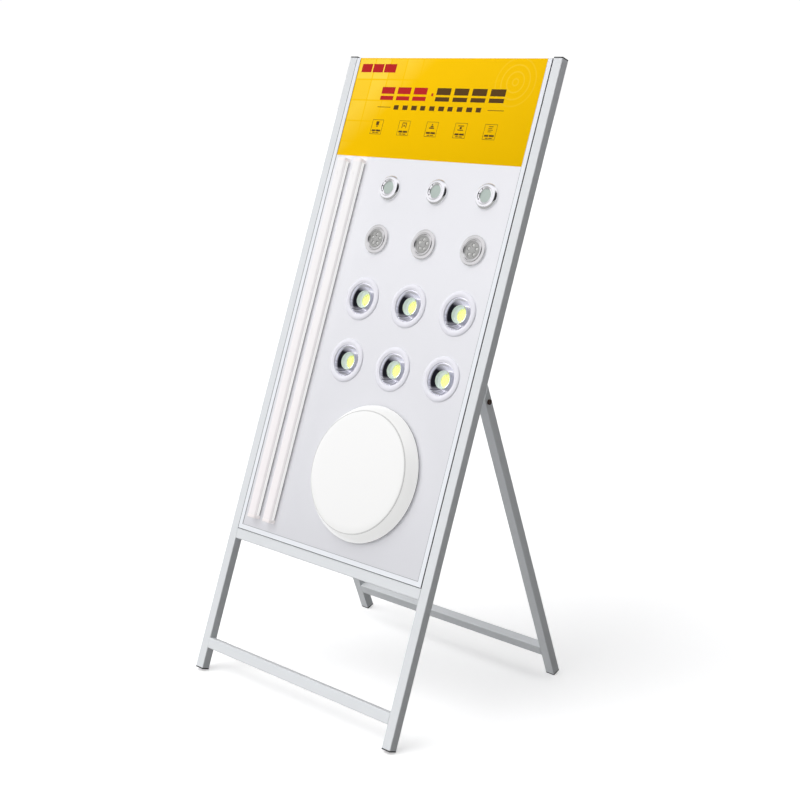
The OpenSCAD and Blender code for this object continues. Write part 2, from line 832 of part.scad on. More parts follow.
module ceiling_base() {
    lip = ceiling_d / 2 - ceiling_wall - lamp_fit;
    r = lip - base_lip_w;
    t = ceiling_sheet;
    color("white") on_board(ceiling_place) difference() {
        rotate_extrude() polygon([
            [0, 0], [r, 0], [r, ceiling_lift], [lip, ceiling_lift],
            [lip, ceiling_lift + base_lip_t], [r, ceiling_lift + base_lip_t],
            [r, ceiling_base_h], [r - t, ceiling_base_h], [r - t, t], [0, t]
        ]);
        ceiling_screw_places() translate([0, 0, -cut]) cylinder(d = screw_d + 2 * rivet_fit, h = 3 * cut);
        ceiling_screw_places() cylinder(d1 = screw_d, d2 = screw_head_d + 2 * rivet_fit, h = t);
    }
}

module ceiling_led_panel()
    color("ivory") on_board(ceiling_place) translate([0, 0, ceiling_sheet + lamp_fit])
        cylinder(r = ceiling_screw_r - screw_head_d, h = led_panel_t);

// Outline of the diffuser's outer surface, shrunk by t
function diffuser_arc(t) = [
    for (a = [0:22.5:90])
        [ceiling_face_d / 2 - ceiling_edge_r + (ceiling_edge_r - t) * cos(a),
         ceiling_h - ceiling_bulge - ceiling_edge_r + (ceiling_edge_r - t) * sin(a)]
];
function diffuser_dome(t) = [
    for (i = [1:6])
        [(ceiling_face_d / 2 - ceiling_edge_r) * (1 - i / 6),
         ceiling_h - t - ceiling_bulge * pow(1 - i / 6, 2)]
];

module ceiling_diffuser() {
    outer = concat([[ceiling_d / 2, ceiling_lift]], [[ceiling_d / 2, ceiling_lift + 2]],
        diffuser_arc(0), diffuser_dome(0));
    inner = concat([[ceiling_d / 2 - ceiling_wall, ceiling_lift]],
        [[ceiling_d / 2 - ceiling_wall, ceiling_lift + 2]],
        diffuser_arc(ceiling_wall), diffuser_dome(ceiling_wall));
    color("white") on_board(ceiling_place) rotate_extrude() polygon(concat(
        outer, [for (i = [len(inner) - 1:-1:0]) inner[i]]
    ));
}

module ceiling_screws()
    color("silver") on_board(ceiling_place) ceiling_screw_places()
        translate([0, 0, ceiling_sheet]) flat_screw(ceiling_sheet);

// ---- rear frame ----

module rear_leg(side)
    difference() {
        leg_frame() on_side(side) difference() {
            translate([-leg_in_x - tube_w / 2, 0, -leg_reach + plug_flange]) tube(leg_reach + far / 4);
            // Mitred top end that comes to rest on the upright's rear face
            rotate([-open_angle, 0, 0]) translate([-far - leg_in_x / 2, -pivot_back + stop_gap - far, -far])
                cube([2 * far, far, 2 * far]);
        }
        at_pivot(side) translate([0, 0, leg_side_gap - cut])
            cylinder(d = bolt_d + 2 * hinge_fit, h = tube_w + 2 * cut);
    }

module rear_leg_left() color("gainsboro") rear_leg(-1);
module rear_leg_right() color("gainsboro") rear_leg(1);

module rear_crossbar()
    color("gainsboro") leg_frame() translate([-leg_in_x, 0, -leg_reach + leg_bar_s + tube_w / 2])
        rotate([0, 90, 0]) tube(2 * leg_in_x);

module rear_foot_plugs()
    color("black") for (side = [-1, 1])
        leg_frame() on_side(side) translate([-leg_in_x - tube_w / 2, 0, -leg_reach]) end_plug();

left_upright();
right_upright();
top_rail();
panel_rail();
lower_rail();
top_plugs();
front_foot_plugs();
hinge_ears();
pivot_bolts();
pivot_washers();
pivot_nuts();
left_channel();
right_channel();
bottom_channel();
channel_rivets();
display_board();
header_sheet();
batten_housings();
batten_led_strips();
batten_covers();
batten_end_caps();
batten_clips();
clip_screws();
puck_bodies();
puck_windows();
puck_led_plates();
puck_screws();
spot_bezels();
spot_lens_plates();
spot_heat_sinks();
spot_springs();
downlight_flanges();
downlight_reflectors();
downlight_lenses();
downlight_cobs();
downlight_heat_sinks();
downlight_springs();
ceiling_base();
ceiling_led_panel();
ceiling_diffuser();
ceiling_screws();
rear_leg_left();
rear_leg_right();
rear_crossbar();
rear_foot_plugs();
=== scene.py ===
import json
import math

import bpy
from mathutils import Matrix, Vector


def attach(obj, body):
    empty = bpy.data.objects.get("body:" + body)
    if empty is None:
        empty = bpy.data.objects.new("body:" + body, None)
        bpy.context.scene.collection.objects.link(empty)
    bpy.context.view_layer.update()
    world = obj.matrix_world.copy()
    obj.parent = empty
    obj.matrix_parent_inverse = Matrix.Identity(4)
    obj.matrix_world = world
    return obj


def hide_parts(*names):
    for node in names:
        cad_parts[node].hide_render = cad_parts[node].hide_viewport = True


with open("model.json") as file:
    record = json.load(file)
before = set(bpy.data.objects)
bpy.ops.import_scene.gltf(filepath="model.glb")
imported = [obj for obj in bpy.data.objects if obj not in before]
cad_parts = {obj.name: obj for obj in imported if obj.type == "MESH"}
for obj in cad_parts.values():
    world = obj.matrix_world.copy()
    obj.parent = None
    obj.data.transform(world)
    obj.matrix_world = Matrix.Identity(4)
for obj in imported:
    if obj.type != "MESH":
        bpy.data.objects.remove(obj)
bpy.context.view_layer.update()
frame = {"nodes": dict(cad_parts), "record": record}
mm = 0.001
print("frame loaded:", len(frame["nodes"]), "nodes")

# ---- places, read from the frame ----

mounts = {mount["name"]: mount for mount in frame["record"]["mounts"]}
across = Vector((1, 0, 0))
boardUp = -Vector(mounts["front_foot_left"]["axis"]).normalized()
boardOut = across.cross(boardUp)


def nodePoints(nodeName):
    return [vertex.co for vertex in frame["nodes"][nodeName].data.vertices]


def span(points, turn=Matrix.Identity(4)):  # lowest and highest corner in a turned space
    rows = list(zip(*(turn @ Vector(point) for point in points)))
    return Vector(map(min, rows)), Vector(map(max, rows))


flatBoard = Matrix((across, boardUp, boardOut)).transposed().to_4x4()
faceOut = span(nodePoints("display_board"), flatBoard.inverted())[1].z
board = flatBoard @ Matrix.Translation((0, 0, faceOut))  # x across, y up the board, z out of its face
toBoard = board.inverted()


def boardSpan(nodeName):
    return span(nodePoints(nodeName), toBoard)


# ---- working by hand ----


def deselectAll():
    if bpy.context.object and bpy.context.object.mode != "OBJECT":
        bpy.ops.object.mode_set(mode="OBJECT")
    bpy.ops.object.select_all(action="DESELECT")


def pick(*objects):
    deselectAll()
    for item in objects:
        item.select_set(True)
    bpy.context.view_layer.objects.active = objects[0]
    return objects[0]


def editMode():
    bpy.ops.object.mode_set(mode="EDIT")
    bpy.ops.mesh.select_all(action="SELECT")


def objectMode():
    bpy.ops.object.mode_set(mode="OBJECT")


def selectEdges(piece, test):  # picks edges by their middle and their direction
    objectMode()
    mesh = piece.data
    for group in (mesh.vertices, mesh.edges, mesh.polygons):
        group.foreach_set("select", [False] * len(group))
    for edge in mesh.edges:
        ends = [mesh.vertices[index].co for index in edge.vertices]
        edge.select = test((ends[0] + ends[1]) / 2, ends[1] - ends[0])
    bpy.ops.object.mode_set(mode="EDIT")
    bpy.ops.mesh.select_mode(type="EDGE")


def useModifier(piece, kind, **settings):
    pick(piece)
    bpy.ops.object.modifier_add(type=kind)
    modifier = piece.modifiers[-1]
    for key, value in settings.items():
        setattr(modifier, key, value)
    bpy.ops.object.modifier_apply(modifier=modifier.name)


def roundEdges(piece, width):
    useModifier(piece, "BEVEL", width=width, segments=2, limit_method="ANGLE", angle_limit=math.radians(30),
                harden_normals=False)


def cutWith(piece, tool):
    useModifier(piece, "BOOLEAN", operation="DIFFERENCE", object=tool, solver="EXACT")
    bpy.data.objects.remove(tool)


def newBlock(low, high):  # block between two corners, a start for shaping
    deselectAll()
    low, high = Vector(low), Vector(high)
    bpy.ops.mesh.primitive_cube_add(size=1, location=(low + high) / 2)
    block = bpy.context.object
    block.scale = high - low
    bpy.ops.object.transform_apply(location=True, rotation=True, scale=True)
    return block


def newRod(radius, low, high, sides=16):  # rod along z
    deselectAll()
    bpy.ops.mesh.primitive_cylinder_add(vertices=sides, radius=radius, depth=high - low,
                                        location=(0, 0, (low + high) / 2))
    bpy.ops.object.transform_apply(location=True, rotation=True, scale=True)
    return bpy.context.object


def arc(centre, across, along, start, end, steps):  # points of an ellipse's arc, in degrees
    turns = [math.radians(start + (end - start) * step / steps) for step in range(steps + 1)]
    return [(centre[0] + across * math.cos(turn), centre[1] + along * math.sin(turn)) for turn in turns]


def traceOutline(points, flat=True):  # a chain of edges, drawn vertex by vertex
    deselectAll()
    bpy.ops.mesh.primitive_plane_add(size=mm)
    editMode()
    bpy.ops.mesh.select_mode(type="VERT")
    bpy.ops.mesh.merge(type="CENTER")
    spots = [Vector((a, b, 0)) if flat else Vector((a, 0, b)) for a, b in points]
    bpy.ops.transform.translate(value=spots[0])
    for here, there in zip(spots, spots[1:]):
        bpy.ops.mesh.extrude_vertices_move(TRANSFORM_OT_translate={"value": there - here})
    return bpy.context.object


def lathe(outline, steps=64):  # outline of (radius, height), spun about z
    piece = traceOutline(outline, flat=False)
    bpy.ops.mesh.select_all(action="SELECT")
    bpy.ops.mesh.spin(steps=steps, angle=math.tau, center=(0, 0, 0), axis=(0, 0, 1))
    bpy.ops.mesh.select_all(action="SELECT")
    bpy.ops.mesh.remove_doubles(threshold=mm / 1000)
    bpy.ops.mesh.normals_make_consistent(inside=False)
    objectMode()
    return piece


def extrudeOutline(outline, length):  # closed outline in the XY plane, pulled up along z
    piece = traceOutline(outline + outline[:1])
    bpy.ops.mesh.select_all(action="SELECT")
    bpy.ops.mesh.remove_doubles(threshold=mm / 1000)
    bpy.ops.mesh.edge_face_add()
    bpy.ops.mesh.extrude_region_move(TRANSFORM_OT_translate={"value": (0, 0, length)})
    bpy.ops.mesh.select_all(action="SELECT")
    bpy.ops.mesh.normals_make_consistent(inside=False)
    objectMode()
    return piece


def joined(*pieces):
    pick(*pieces)
    bpy.ops.object.join()
    return bpy.context.object


def copyTo(model, place):
    pick(model)
    bpy.ops.object.duplicate()
    copy = bpy.context.object
    copy.matrix_world = place @ copy.matrix_world
    bpy.ops.object.transform_apply(location=True, rotation=True, scale=True)
    return copy


def nodeCopies(nodeName):  # merged copies of a CAD node's solids, one object each
    pick(frame["nodes"][nodeName])
    bpy.ops.object.duplicate()
    copy = bpy.context.object
    for key in list(copy.keys()):
        del copy[key]
    copy.parent = None
    editMode()
    bpy.ops.mesh.remove_doubles(threshold=mm / 1000)
    objectMode()
    bpy.ops.mesh.separate(type="LOOSE")
    return list(bpy.context.selected_objects)


def solidSpans(nodeName):  # box of each solid of a node in the board's space, top row first
    copies = nodeCopies(nodeName)
    spans = [span([vertex.co for vertex in copy.data.vertices], toBoard) for copy in copies]
    for copy in copies:
        bpy.data.objects.remove(copy)
    return sorted(spans, key=lambda ends: (-round(ends[0].y, 3), ends[0].x))


def keepLocal(piece):  # remembers where each point lies on the unplaced piece
    points = piece.data.attributes.new("lampPlace", "FLOAT_VECTOR", "POINT")
    flat = [value for vertex in piece.data.vertices for value in vertex.co]
    points.data.foreach_set("vector", flat)
    return piece


def settle(piece, name, nodeName, finish):  # a finished piece takes its node's place
    pick(piece)
    bpy.ops.object.transform_apply(location=True, rotation=True, scale=True)
    bpy.ops.object.shade_smooth_by_angle(angle=math.radians(35))
    piece.name = piece.data.name = name
    piece.data.materials.clear()
    piece.data.materials.append(finish)
    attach(piece, bodyOf[nodeName])
    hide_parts(nodeName)


def settleCopies(model, name, nodeName, places, finish):
    copies = [copyTo(model, place) for place in places]
    bpy.data.objects.remove(model)
    for number, copy in enumerate(copies, 1):
        settle(copy, f"{name}{number}", nodeName, finish)


bodyOf = {node: body for body, nodes in frame["record"]["behaviour"]["bodies"].items() for node in nodes}

# ---- shader building ----


def addNode(tree, kind, links=None, **settings):
    node = tree.nodes.new("ShaderNode" + kind)
    for key, value in settings.items():
        setattr(node, key, value)
    for key, value in (links or {}).items():
        if isinstance(value, bpy.types.NodeSocket):
            tree.links.new(value, node.inputs[key])
        else:
            node.inputs[key].default_value = value
    return node


def calc(tree, operation, first, second=0.5):
    return addNode(tree, "Math", {0: first, 1: second}, operation=operation).outputs[0]


def distanceFrom(tree, first, second):  # length of the flat vector with these two parts
    squares = calc(tree, "ADD", calc(tree, "POWER", first, 2.0), calc(tree, "POWER", second, 2.0))
    return calc(tree, "SQRT", squares)


def blendColours(tree, share, first, second, mode="MIX"):
    node = addNode(tree, "Mix", data_type="RGBA", blend_type=mode)
    for socket, value in zip((node.inputs["Factor"], node.inputs[6], node.inputs[7]), (share, first, second)):
        if isinstance(value, bpy.types.NodeSocket):
            tree.links.new(value, socket)
        else:
            socket.default_value = value
    return node.outputs[2]


def stretch(tree, vector, scale=(1, 1, 1), turn=(0, 0, 0)):
    links = {"Vector": vector, "Scale": scale, "Rotation": turn}
    return addNode(tree, "Mapping", links, vector_type="POINT").outputs["Vector"]


def noise(tree, vector, scale, detail=2.0, roughness=0.5):
    links = {"Vector": vector, "Scale": scale, "Detail": detail, "Roughness": roughness}
    return addNode(tree, "TexNoise", links).outputs["Fac"]


def remap(tree, value, low, high, toLow=0.0, toHigh=1.0):
    links = {"Value": value, "From Min": low, "From Max": high, "To Min": toLow, "To Max": toHigh}
    return addNode(tree, "MapRange", links, clamp=True).outputs["Result"]


def makeGroup(name, inputs, outputs):
    tree = bpy.data.node_groups.new(name, "ShaderNodeTree")
    for label, kind, value in inputs:
        socket = tree.interface.new_socket(label, in_out="INPUT", socket_type="NodeSocket" + kind)
        if value is not None:
            socket.default_value = value
    for label, kind in outputs:
        tree.interface.new_socket(label, in_out="OUTPUT", socket_type="NodeSocket" + kind)
    return tree, tree.nodes.new("NodeGroupInput").outputs, tree.nodes.new("NodeGroupOutput").inputs


def useGroup(tree, group, links):
    node = tree.nodes.new("ShaderNodeGroup")
    node.node_tree = group
    for key, value in links.items():
        if isinstance(value, bpy.types.NodeSocket):
            tree.links.new(value, node.inputs[key])
        else:
            node.inputs[key].default_value = value
    return node.outputs


def newFinish(name):  # an empty material with its own Principled shader
    material = bpy.data.materials.new(name)
    material.use_nodes = True
    tree = material.node_tree
    return material, tree, tree.nodes["Principled BSDF"]


def setUp(shader, links, **constants):
    tree = shader.id_data
    for key, value in links.items():
        tree.links.new(value, shader.inputs[key])
    for key, value in constants.items():
        shader.inputs[key.replace("_", " ")].default_value = value


def objectPlace(tree):
    return addNode(tree, "TexCoord").outputs["Object"]


def lampPlace(tree):
    return addNode(tree, "Attribute", attribute_name="lampPlace").outputs["Vector"]


def bump(tree, height, strength, distance):
    links = {"Height": height, "Strength": strength, "Distance": distance}
    return addNode(tree, "Bump", links).outputs["Normal"]


# Sprayed or moulded skin: slow drift of the colour, a fine peel, and patchy gloss
def makeSkinGroup():
    tree, given, put = makeGroup("sprayedSkin", [
        ("Vector", "Vector", None), ("Colour", "Color", (0.8, 0.8, 0.8, 1)), ("Drift", "Float", 0.03),
        ("Peel Scale", "Float", 700.0), ("Gloss", "Float", 0.35), ("Gloss Drift", "Float", 0.06),
    ], [("Colour", "Color"), ("Roughness", "Float"), ("Height", "Float")])
    slow = noise(tree, given["Vector"], 9.0, 3.0)
    shade = calc(tree, "ADD", calc(tree, "MULTIPLY", calc(tree, "SUBTRACT", slow, 0.5), given["Drift"]), 1.0)
    dark = addNode(tree, "CombineColor", {"Red": shade, "Green": shade, "Blue": shade}).outputs["Color"]
    tree.links.new(blendColours(tree, 1.0, given["Colour"], dark, "MULTIPLY"), put["Colour"])
    patches = calc(tree, "SUBTRACT", noise(tree, given["Vector"], 38.0, 4.0), 0.5)
    tree.links.new(calc(tree, "ADD", calc(tree, "MULTIPLY", patches, given["Gloss Drift"]), given["Gloss"]),
                   put["Roughness"])
    peel = noise(tree, given["Vector"], given["Peel Scale"], 2.0)
    tree.links.new(peel, put["Height"])
    return tree


# Lines left by drawing or extruding along one direction, given by the stretched vector
def makeDrawnGroup():
    tree, given, put = makeGroup("drawnLines", [
        ("Vector", "Vector", None), ("Colour", "Color", (0.8, 0.8, 0.8, 1)), ("Depth", "Float", 0.05),
        ("Gloss", "Float", 0.3), ("Gloss Drift", "Float", 0.1),
    ], [("Colour", "Color"), ("Roughness", "Float"), ("Height", "Float")])
    lines = noise(tree, given["Vector"], 1.0, 5.0, 0.65)
    middle = calc(tree, "SUBTRACT", lines, 0.5)
    shade = calc(tree, "ADD", calc(tree, "MULTIPLY", middle, given["Depth"]), 1.0)
    grey = addNode(tree, "CombineColor", {"Red": shade, "Green": shade, "Blue": shade}).outputs["Color"]
    tree.links.new(blendColours(tree, 1.0, given["Colour"], grey, "MULTIPLY"), put["Colour"])
    tree.links.new(calc(tree, "ADD", calc(tree, "MULTIPLY", middle, given["Gloss Drift"]), given["Gloss"]),
                   put["Roughness"])
    tree.links.new(lines, put["Height"])
    return tree


# Rings left by turning a round piece, about the z axis of the unplaced piece
def makeTurnedGroup():
    tree, given, put = makeGroup("turnedRings", [
        ("Vector", "Vector", None), ("Pitch", "Float", 0.0006), ("Gloss", "Float", 0.3),
        ("Gloss Drift", "Float", 0.15),
    ], [("Roughness", "Float"), ("Height", "Float")])
    parts = addNode(tree, "SeparateXYZ", {"Vector": given["Vector"]}).outputs
    radius = distanceFrom(tree, parts["X"], parts["Y"])
    rings = addNode(tree, "CombineXYZ", {"X": calc(tree, "DIVIDE", radius, given["Pitch"])}).outputs["Vector"]
    lines = noise(tree, rings, 1.0, 3.0, 0.6)
    middle = calc(tree, "SUBTRACT", lines, 0.5)
    tree.links.new(calc(tree, "ADD", calc(tree, "MULTIPLY", middle, given["Gloss Drift"]), given["Gloss"]),
                   put["Roughness"])
    tree.links.new(lines, put["Height"])
    return tree


skinGroup = makeSkinGroup()
drawnGroup = makeDrawnGroup()
turnedGroup = makeTurnedGroup()


def skinFinish(name, colour, gloss, glossDrift=0.06, drift=0.03, peel=700.0, peelHeight=0.00002, **constants):
    material, tree, shader = newFinish(name)
    skin = useGroup(tree, skinGroup, {
        "Vector": objectPlace(tree), "Colour": (*colour, 1), "Drift": drift, "Peel Scale": peel,
        "Gloss": gloss, "Gloss Drift": glossDrift})
    setUp(shader, {"Base Color": skin["Colour"], "Roughness": skin["Roughness"],
                   "Normal": bump(tree, skin["Height"], 0.5, peelHeight)}, **constants)
    return material


def drawnFinish(name, colour, gloss, glossDrift, depth, scale, **constants):
    material, tree, shader = newFinish(name)
    lines = useGroup(tree, drawnGroup, {
        "Vector": stretch(tree, objectPlace(tree), scale), "Colour": (*colour, 1),
        "Depth": depth, "Gloss": gloss, "Gloss Drift": glossDrift})
    setUp(shader, {"Base Color": lines["Colour"], "Roughness": lines["Roughness"],
                   "Normal": bump(tree, lines["Height"], 0.4, 0.00002)}, **constants)
    return material


def turnedFinish(name, colour, gloss, glossDrift, pitch, height=0.00001, **constants):
    material, tree, shader = newFinish(name)
    rings = useGroup(tree, turnedGroup, {"Vector": lampPlace(tree), "Pitch": pitch, "Gloss": gloss,
                                         "Gloss Drift": glossDrift})
    setUp(shader, {"Roughness": rings["Roughness"], "Normal": bump(tree, rings["Height"], 0.3, height)},
          Base_Color=(*colour, 1), **constants)
    return material


boardTurn = (math.atan2(boardUp.y, boardUp.z), 0, 0)  # stands the board upright in a Mapping node

framePaint = skinFinish("framePaint", (0.7, 0.72, 0.74), 0.34, peel=650, Coat_Weight=0.15)
plugPlastic = skinFinish("plugPlastic", (0.018, 0.018, 0.02), 0.42, 0.12, 0.2, 1800, 0.00004)
blackOxide = skinFinish("blackOxide", (0.05, 0.03, 0.022), 0.32, 0.15, 0.5, 900, Metallic=0.7)
zincPlate = skinFinish("zincPlate", (0.56, 0.58, 0.6), 0.3, 0.2, 0.25, 500, Metallic=1.0)
# white plastic with a painted glow: emission that brightens it though it is not lit
whitePlastic = skinFinish("whitePlastic", (0.55, 0.54, 0.535), 0.3, 0.08, 0.02, 1200, 0.00001,
                          Emission_Color=(1, 0.99, 0.98, 1), Emission_Strength=0.36)
circuitBoard = skinFinish("circuitBoard", (0.8, 0.8, 0.74), 0.4, 0.1, 0.05, 900)
whiteLampPaint = skinFinish("whiteLampPaint", (0.79, 0.785, 0.845), 0.16, 0.04, 0.01, 420, 0.00001,
                            Coat_Weight=0.4)
castAluminium = skinFinish("castAluminium", (0.6, 0.61, 0.63), 0.45, 0.2, 0.15, 1500, 0.00006, Metallic=1.0)
# phosphor with a painted glow standing in for the light that the lens glass keeps from it
phosphor = skinFinish("phosphor", (0.5, 0.52, 0.04), 0.5, 0.1, 0.15, 1500, 0.00003,
                      Emission_Color=(0.64, 0.7, 0.18, 1), Emission_Strength=0.5)
springSteel = drawnFinish("springSteel", (0.42, 0.43, 0.45), 0.28, 0.15, 0.2, (900, 200, 60), Metallic=1.0)
chromePlate = turnedFinish("chromePlate", (0.93, 0.935, 0.94), 0.14, 0.05, 0.0009, Metallic=1.0)
satinMetal = turnedFinish("satinMetal", (0.72, 0.72, 0.71), 0.17, 0.2, 0.0005, 0.00003, Metallic=1.0)


def makeChannelFinish():  # drawn lines along the panel, with painted shadow lines in the gap beside the tube and along the board's edge
    settings = {"pale": (0.8, 0.82, 0.86, 1), "seam": (0.06, 0.06, 0.07, 1), "outer": 0.0011, "inner": 0.0006,
                "edge": 0.0003, "innerShade": 0.75}
    low, high = boardSpan("bottom_channel")
    lip = boardSpan("left_channel")[1].x - low.x
    material, tree, shader = newFinish("channelFinish")
    parts = addNode(tree, "SeparateXYZ", {"Vector": stretch(tree, objectPlace(tree), turn=boardTurn)}).outputs
    fromSide = calc(tree, "SUBTRACT", high.x, calc(tree, "ABSOLUTE", parts["X"]))
    fromFoot = calc(tree, "SUBTRACT", parts["Z"], low.y)
    nearest = calc(tree, "MINIMUM", fromSide, fromFoot)
    # painted shadow in the seam colour: a dark line in the gap beside the tube (outer), and a lighter one
    # where the lip meets the board (inner)
    outer = remap(tree, nearest, settings["outer"], settings["outer"] + settings["edge"], 1.0, 0.0)
    innerShadowStart = lip - settings["inner"]
    inner = remap(tree, nearest, innerShadowStart - settings["edge"], innerShadowStart, 0.0, settings["innerShade"])
    lines = useGroup(tree, drawnGroup, {
        "Vector": stretch(tree, objectPlace(tree), (900, 900, 6), turn=boardTurn), "Colour": settings["pale"],
        "Depth": 0.03, "Gloss": 0.26, "Gloss Drift": 0.1})
    colour = blendColours(tree, calc(tree, "MAXIMUM", outer, inner), lines["Colour"], settings["seam"])
    setUp(shader, {"Base Color": colour, "Roughness": lines["Roughness"],
                   "Normal": bump(tree, lines["Height"], 0.4, 0.00002)}, Specular_IOR_Level=0.3)
    return material


def shareTowards(tree, way, turn, edge, core):  # grows from 0 to 1 as a flat direction nears a turn
    towards = (math.cos(math.radians(turn)), math.sin(math.radians(turn)), 0)
    facing = addNode(tree, "VectorMath", {0: way, 1: towards}, operation="DOT_PRODUCT").outputs["Value"]
    return remap(tree, facing, edge, core)


def makeMirrorReflector():  # spun bowl with painted reflections: a bright base with a painted glow, a dark painted reflection low on one side and violet painted reflection streaks below
    look = {"bright": (0.86, 0.86, 0.92, 1), "dark": (0.015, 0.015, 0.02, 1), "reflectedViolet": (0.2, 0.195, 0.27, 1),
            "darkReflection": (178, 0.45, 0.85), "darkReflectionDepth": (-0.008, -0.003), "reflectionStreaks": (250, 0.3, 0.72),
            "streakPitch": 9, "streakShare": (0.4, 0.62), "gloss": 0.12, "paintedGlow": 0.42}
    material, tree, shader = newFinish("mirrorReflector")
    place = lampPlace(tree)
    parts = addNode(tree, "SeparateXYZ", {"Vector": place}).outputs
    flat = addNode(tree, "CombineXYZ", {"X": parts["X"], "Y": parts["Y"]}).outputs["Vector"]
    way = addNode(tree, "VectorMath", {0: flat}, operation="NORMALIZE").outputs["Vector"]
    low, high = look["darkReflectionDepth"]
    # painted reflection: dark deep in the bowl on one side, violet streaks on another
    deep = remap(tree, parts["Z"], high, low, 0.0, 1.0)
    darkReflection = calc(tree, "MULTIPLY", shareTowards(tree, way, *look["darkReflection"]), deep)
    lines = noise(tree, stretch(tree, way, (look["streakPitch"],) * 3), 1.0, 3.0, 0.7)
    reflectionStreaks = calc(tree, "MULTIPLY", shareTowards(tree, way, *look["reflectionStreaks"]),
                   remap(tree, lines, *look["streakShare"]))
    colour = blendColours(tree, reflectionStreaks, look["bright"], look["reflectedViolet"])
    colour = blendColours(tree, darkReflection, colour, look["dark"])
    rings = useGroup(tree, turnedGroup, {"Vector": place, "Pitch": 0.0012, "Gloss": look["gloss"],
                                         "Gloss Drift": 0.05})
    setUp(shader, {"Base Color": colour, "Emission Color": colour, "Roughness": rings["Roughness"],
                   "Normal": bump(tree, rings["Height"], 0.3, 0.00001)},
          Metallic=0.85, Emission_Strength=look["paintedGlow"])
    return material


def makeBoardLaminate():  # printed film, near white, with painted shade that greys it towards the foot
    settings = {"top": (0.8, 0.8, 0.838, 1), "foot": (0.655, 0.657, 0.69, 1), "grain": 1400, "footShadeReach": 0.6}
    low, high = boardSpan("display_board")
    material, tree, shader = newFinish("boardLaminate")
    flat = stretch(tree, objectPlace(tree), turn=boardTurn)
    height = addNode(tree, "SeparateXYZ", {"Vector": flat}).outputs["Z"]
    # painted shade: darker towards the foot
    footShade = remap(tree, height, low.y, low.y + (high.y - low.y) * settings["footShadeReach"])
    skin = useGroup(tree, skinGroup, {
        "Vector": objectPlace(tree), "Colour": blendColours(tree, footShade, settings["foot"], settings["top"]),
        "Drift": 0.012, "Peel Scale": settings["grain"], "Gloss": 0.33, "Gloss Drift": 0.05})
    setUp(shader, {"Base Color": skin["Colour"], "Roughness": skin["Roughness"],
                   "Normal": bump(tree, skin["Height"], 0.3, 0.00001)}, Specular_IOR_Level=0.35)
    return material


def makeHeaderPrint():  # warm yellow, a lighter grid in the top left corner and faint rings in the top right
    settings = {"base": (0.9, 0.53, 0.0, 1), "light": (0.94, 0.64, 0.06, 1), "square": 0.052, "line": 0.0032,
                "gridFade": (0.15, 0.26), "palest": 0.35, "ringFromRight": 0.075, "ringDown": 0.055,
                "ringStep": 0.008, "ringLine": (0.72, 0.82), "ringReach": 0.068, "ringShade": 0.28}
    low, high = boardSpan("header_sheet")
    material, tree, shader = newFinish("headerPrint")
    flat = stretch(tree, objectPlace(tree), turn=boardTurn)
    parts = addNode(tree, "SeparateXYZ", {"Vector": flat}).outputs
    fromLeft = calc(tree, "SUBTRACT", parts["X"], low.x)
    fromTop = calc(tree, "SUBTRACT", high.y, parts["Z"])
    lineMasks = []
    cellMasks = []
    for distance in (fromLeft, fromTop):
        cell = calc(tree, "MODULO", distance, settings["square"])
        lineMasks.append(calc(tree, "GREATER_THAN", cell, settings["line"]))
        cellMasks.append(calc(tree, "FLOOR", calc(tree, "DIVIDE", distance, settings["square"])))
    cells = calc(tree, "MULTIPLY", *lineMasks)
    seeds = addNode(tree, "CombineXYZ", {"X": cellMasks[0], "Y": cellMasks[1]}).outputs["Vector"]
    draw = addNode(tree, "TexWhiteNoise", {"Vector": seeds}, noise_dimensions="2D").outputs["Value"]
    share = remap(tree, draw, 0.0, 1.0, settings["palest"], 1.0)
    gridFade = remap(tree, calc(tree, "ADD", fromLeft, fromTop), *settings["gridFade"], 1.0, 0.0)
    gridMask = calc(tree, "MULTIPLY", calc(tree, "MULTIPLY", cells, share), gridFade)
    fromRight = calc(tree, "SUBTRACT", high.x - settings["ringFromRight"], parts["X"])
    down = calc(tree, "SUBTRACT", fromTop, settings["ringDown"])
    radius = distanceFrom(tree, fromRight, down)
    waves = calc(tree, "PINGPONG", radius, settings["ringStep"])
    rings = remap(tree, waves, *(settings["ringStep"] * part for part in settings["ringLine"]))
    inReach = remap(tree, radius, settings["ringReach"] * 0.75, settings["ringReach"], 1.0, 0.0)
    ringMask = calc(tree, "MULTIPLY", calc(tree, "MULTIPLY", rings, inReach), settings["ringShade"])
    mask = calc(tree, "MAXIMUM", gridMask, ringMask)
    skin = useGroup(tree, skinGroup, {
        "Vector": objectPlace(tree), "Colour": blendColours(tree, mask, settings["base"], settings["light"]),
        "Drift": 0.015, "Peel Scale": 1600.0, "Gloss": 0.5, "Gloss Drift": 0.05})
    setUp(shader, {"Base Color": skin["Colour"], "Roughness": skin["Roughness"],
                   "Normal": bump(tree, skin["Height"], 0.2, 0.00001)}, Specular_IOR_Level=0.03)
    return material


def heightOffBoard(tree):  # how far a point stands in front of the board's face
    flat = stretch(tree, objectPlace(tree), turn=boardTurn)
    parts = addNode(tree, "SeparateXYZ", {"Vector": flat}).outputs
    return parts, calc(tree, "SUBTRACT", calc(tree, "MULTIPLY", parts["Y"], -1.0), faceOut)
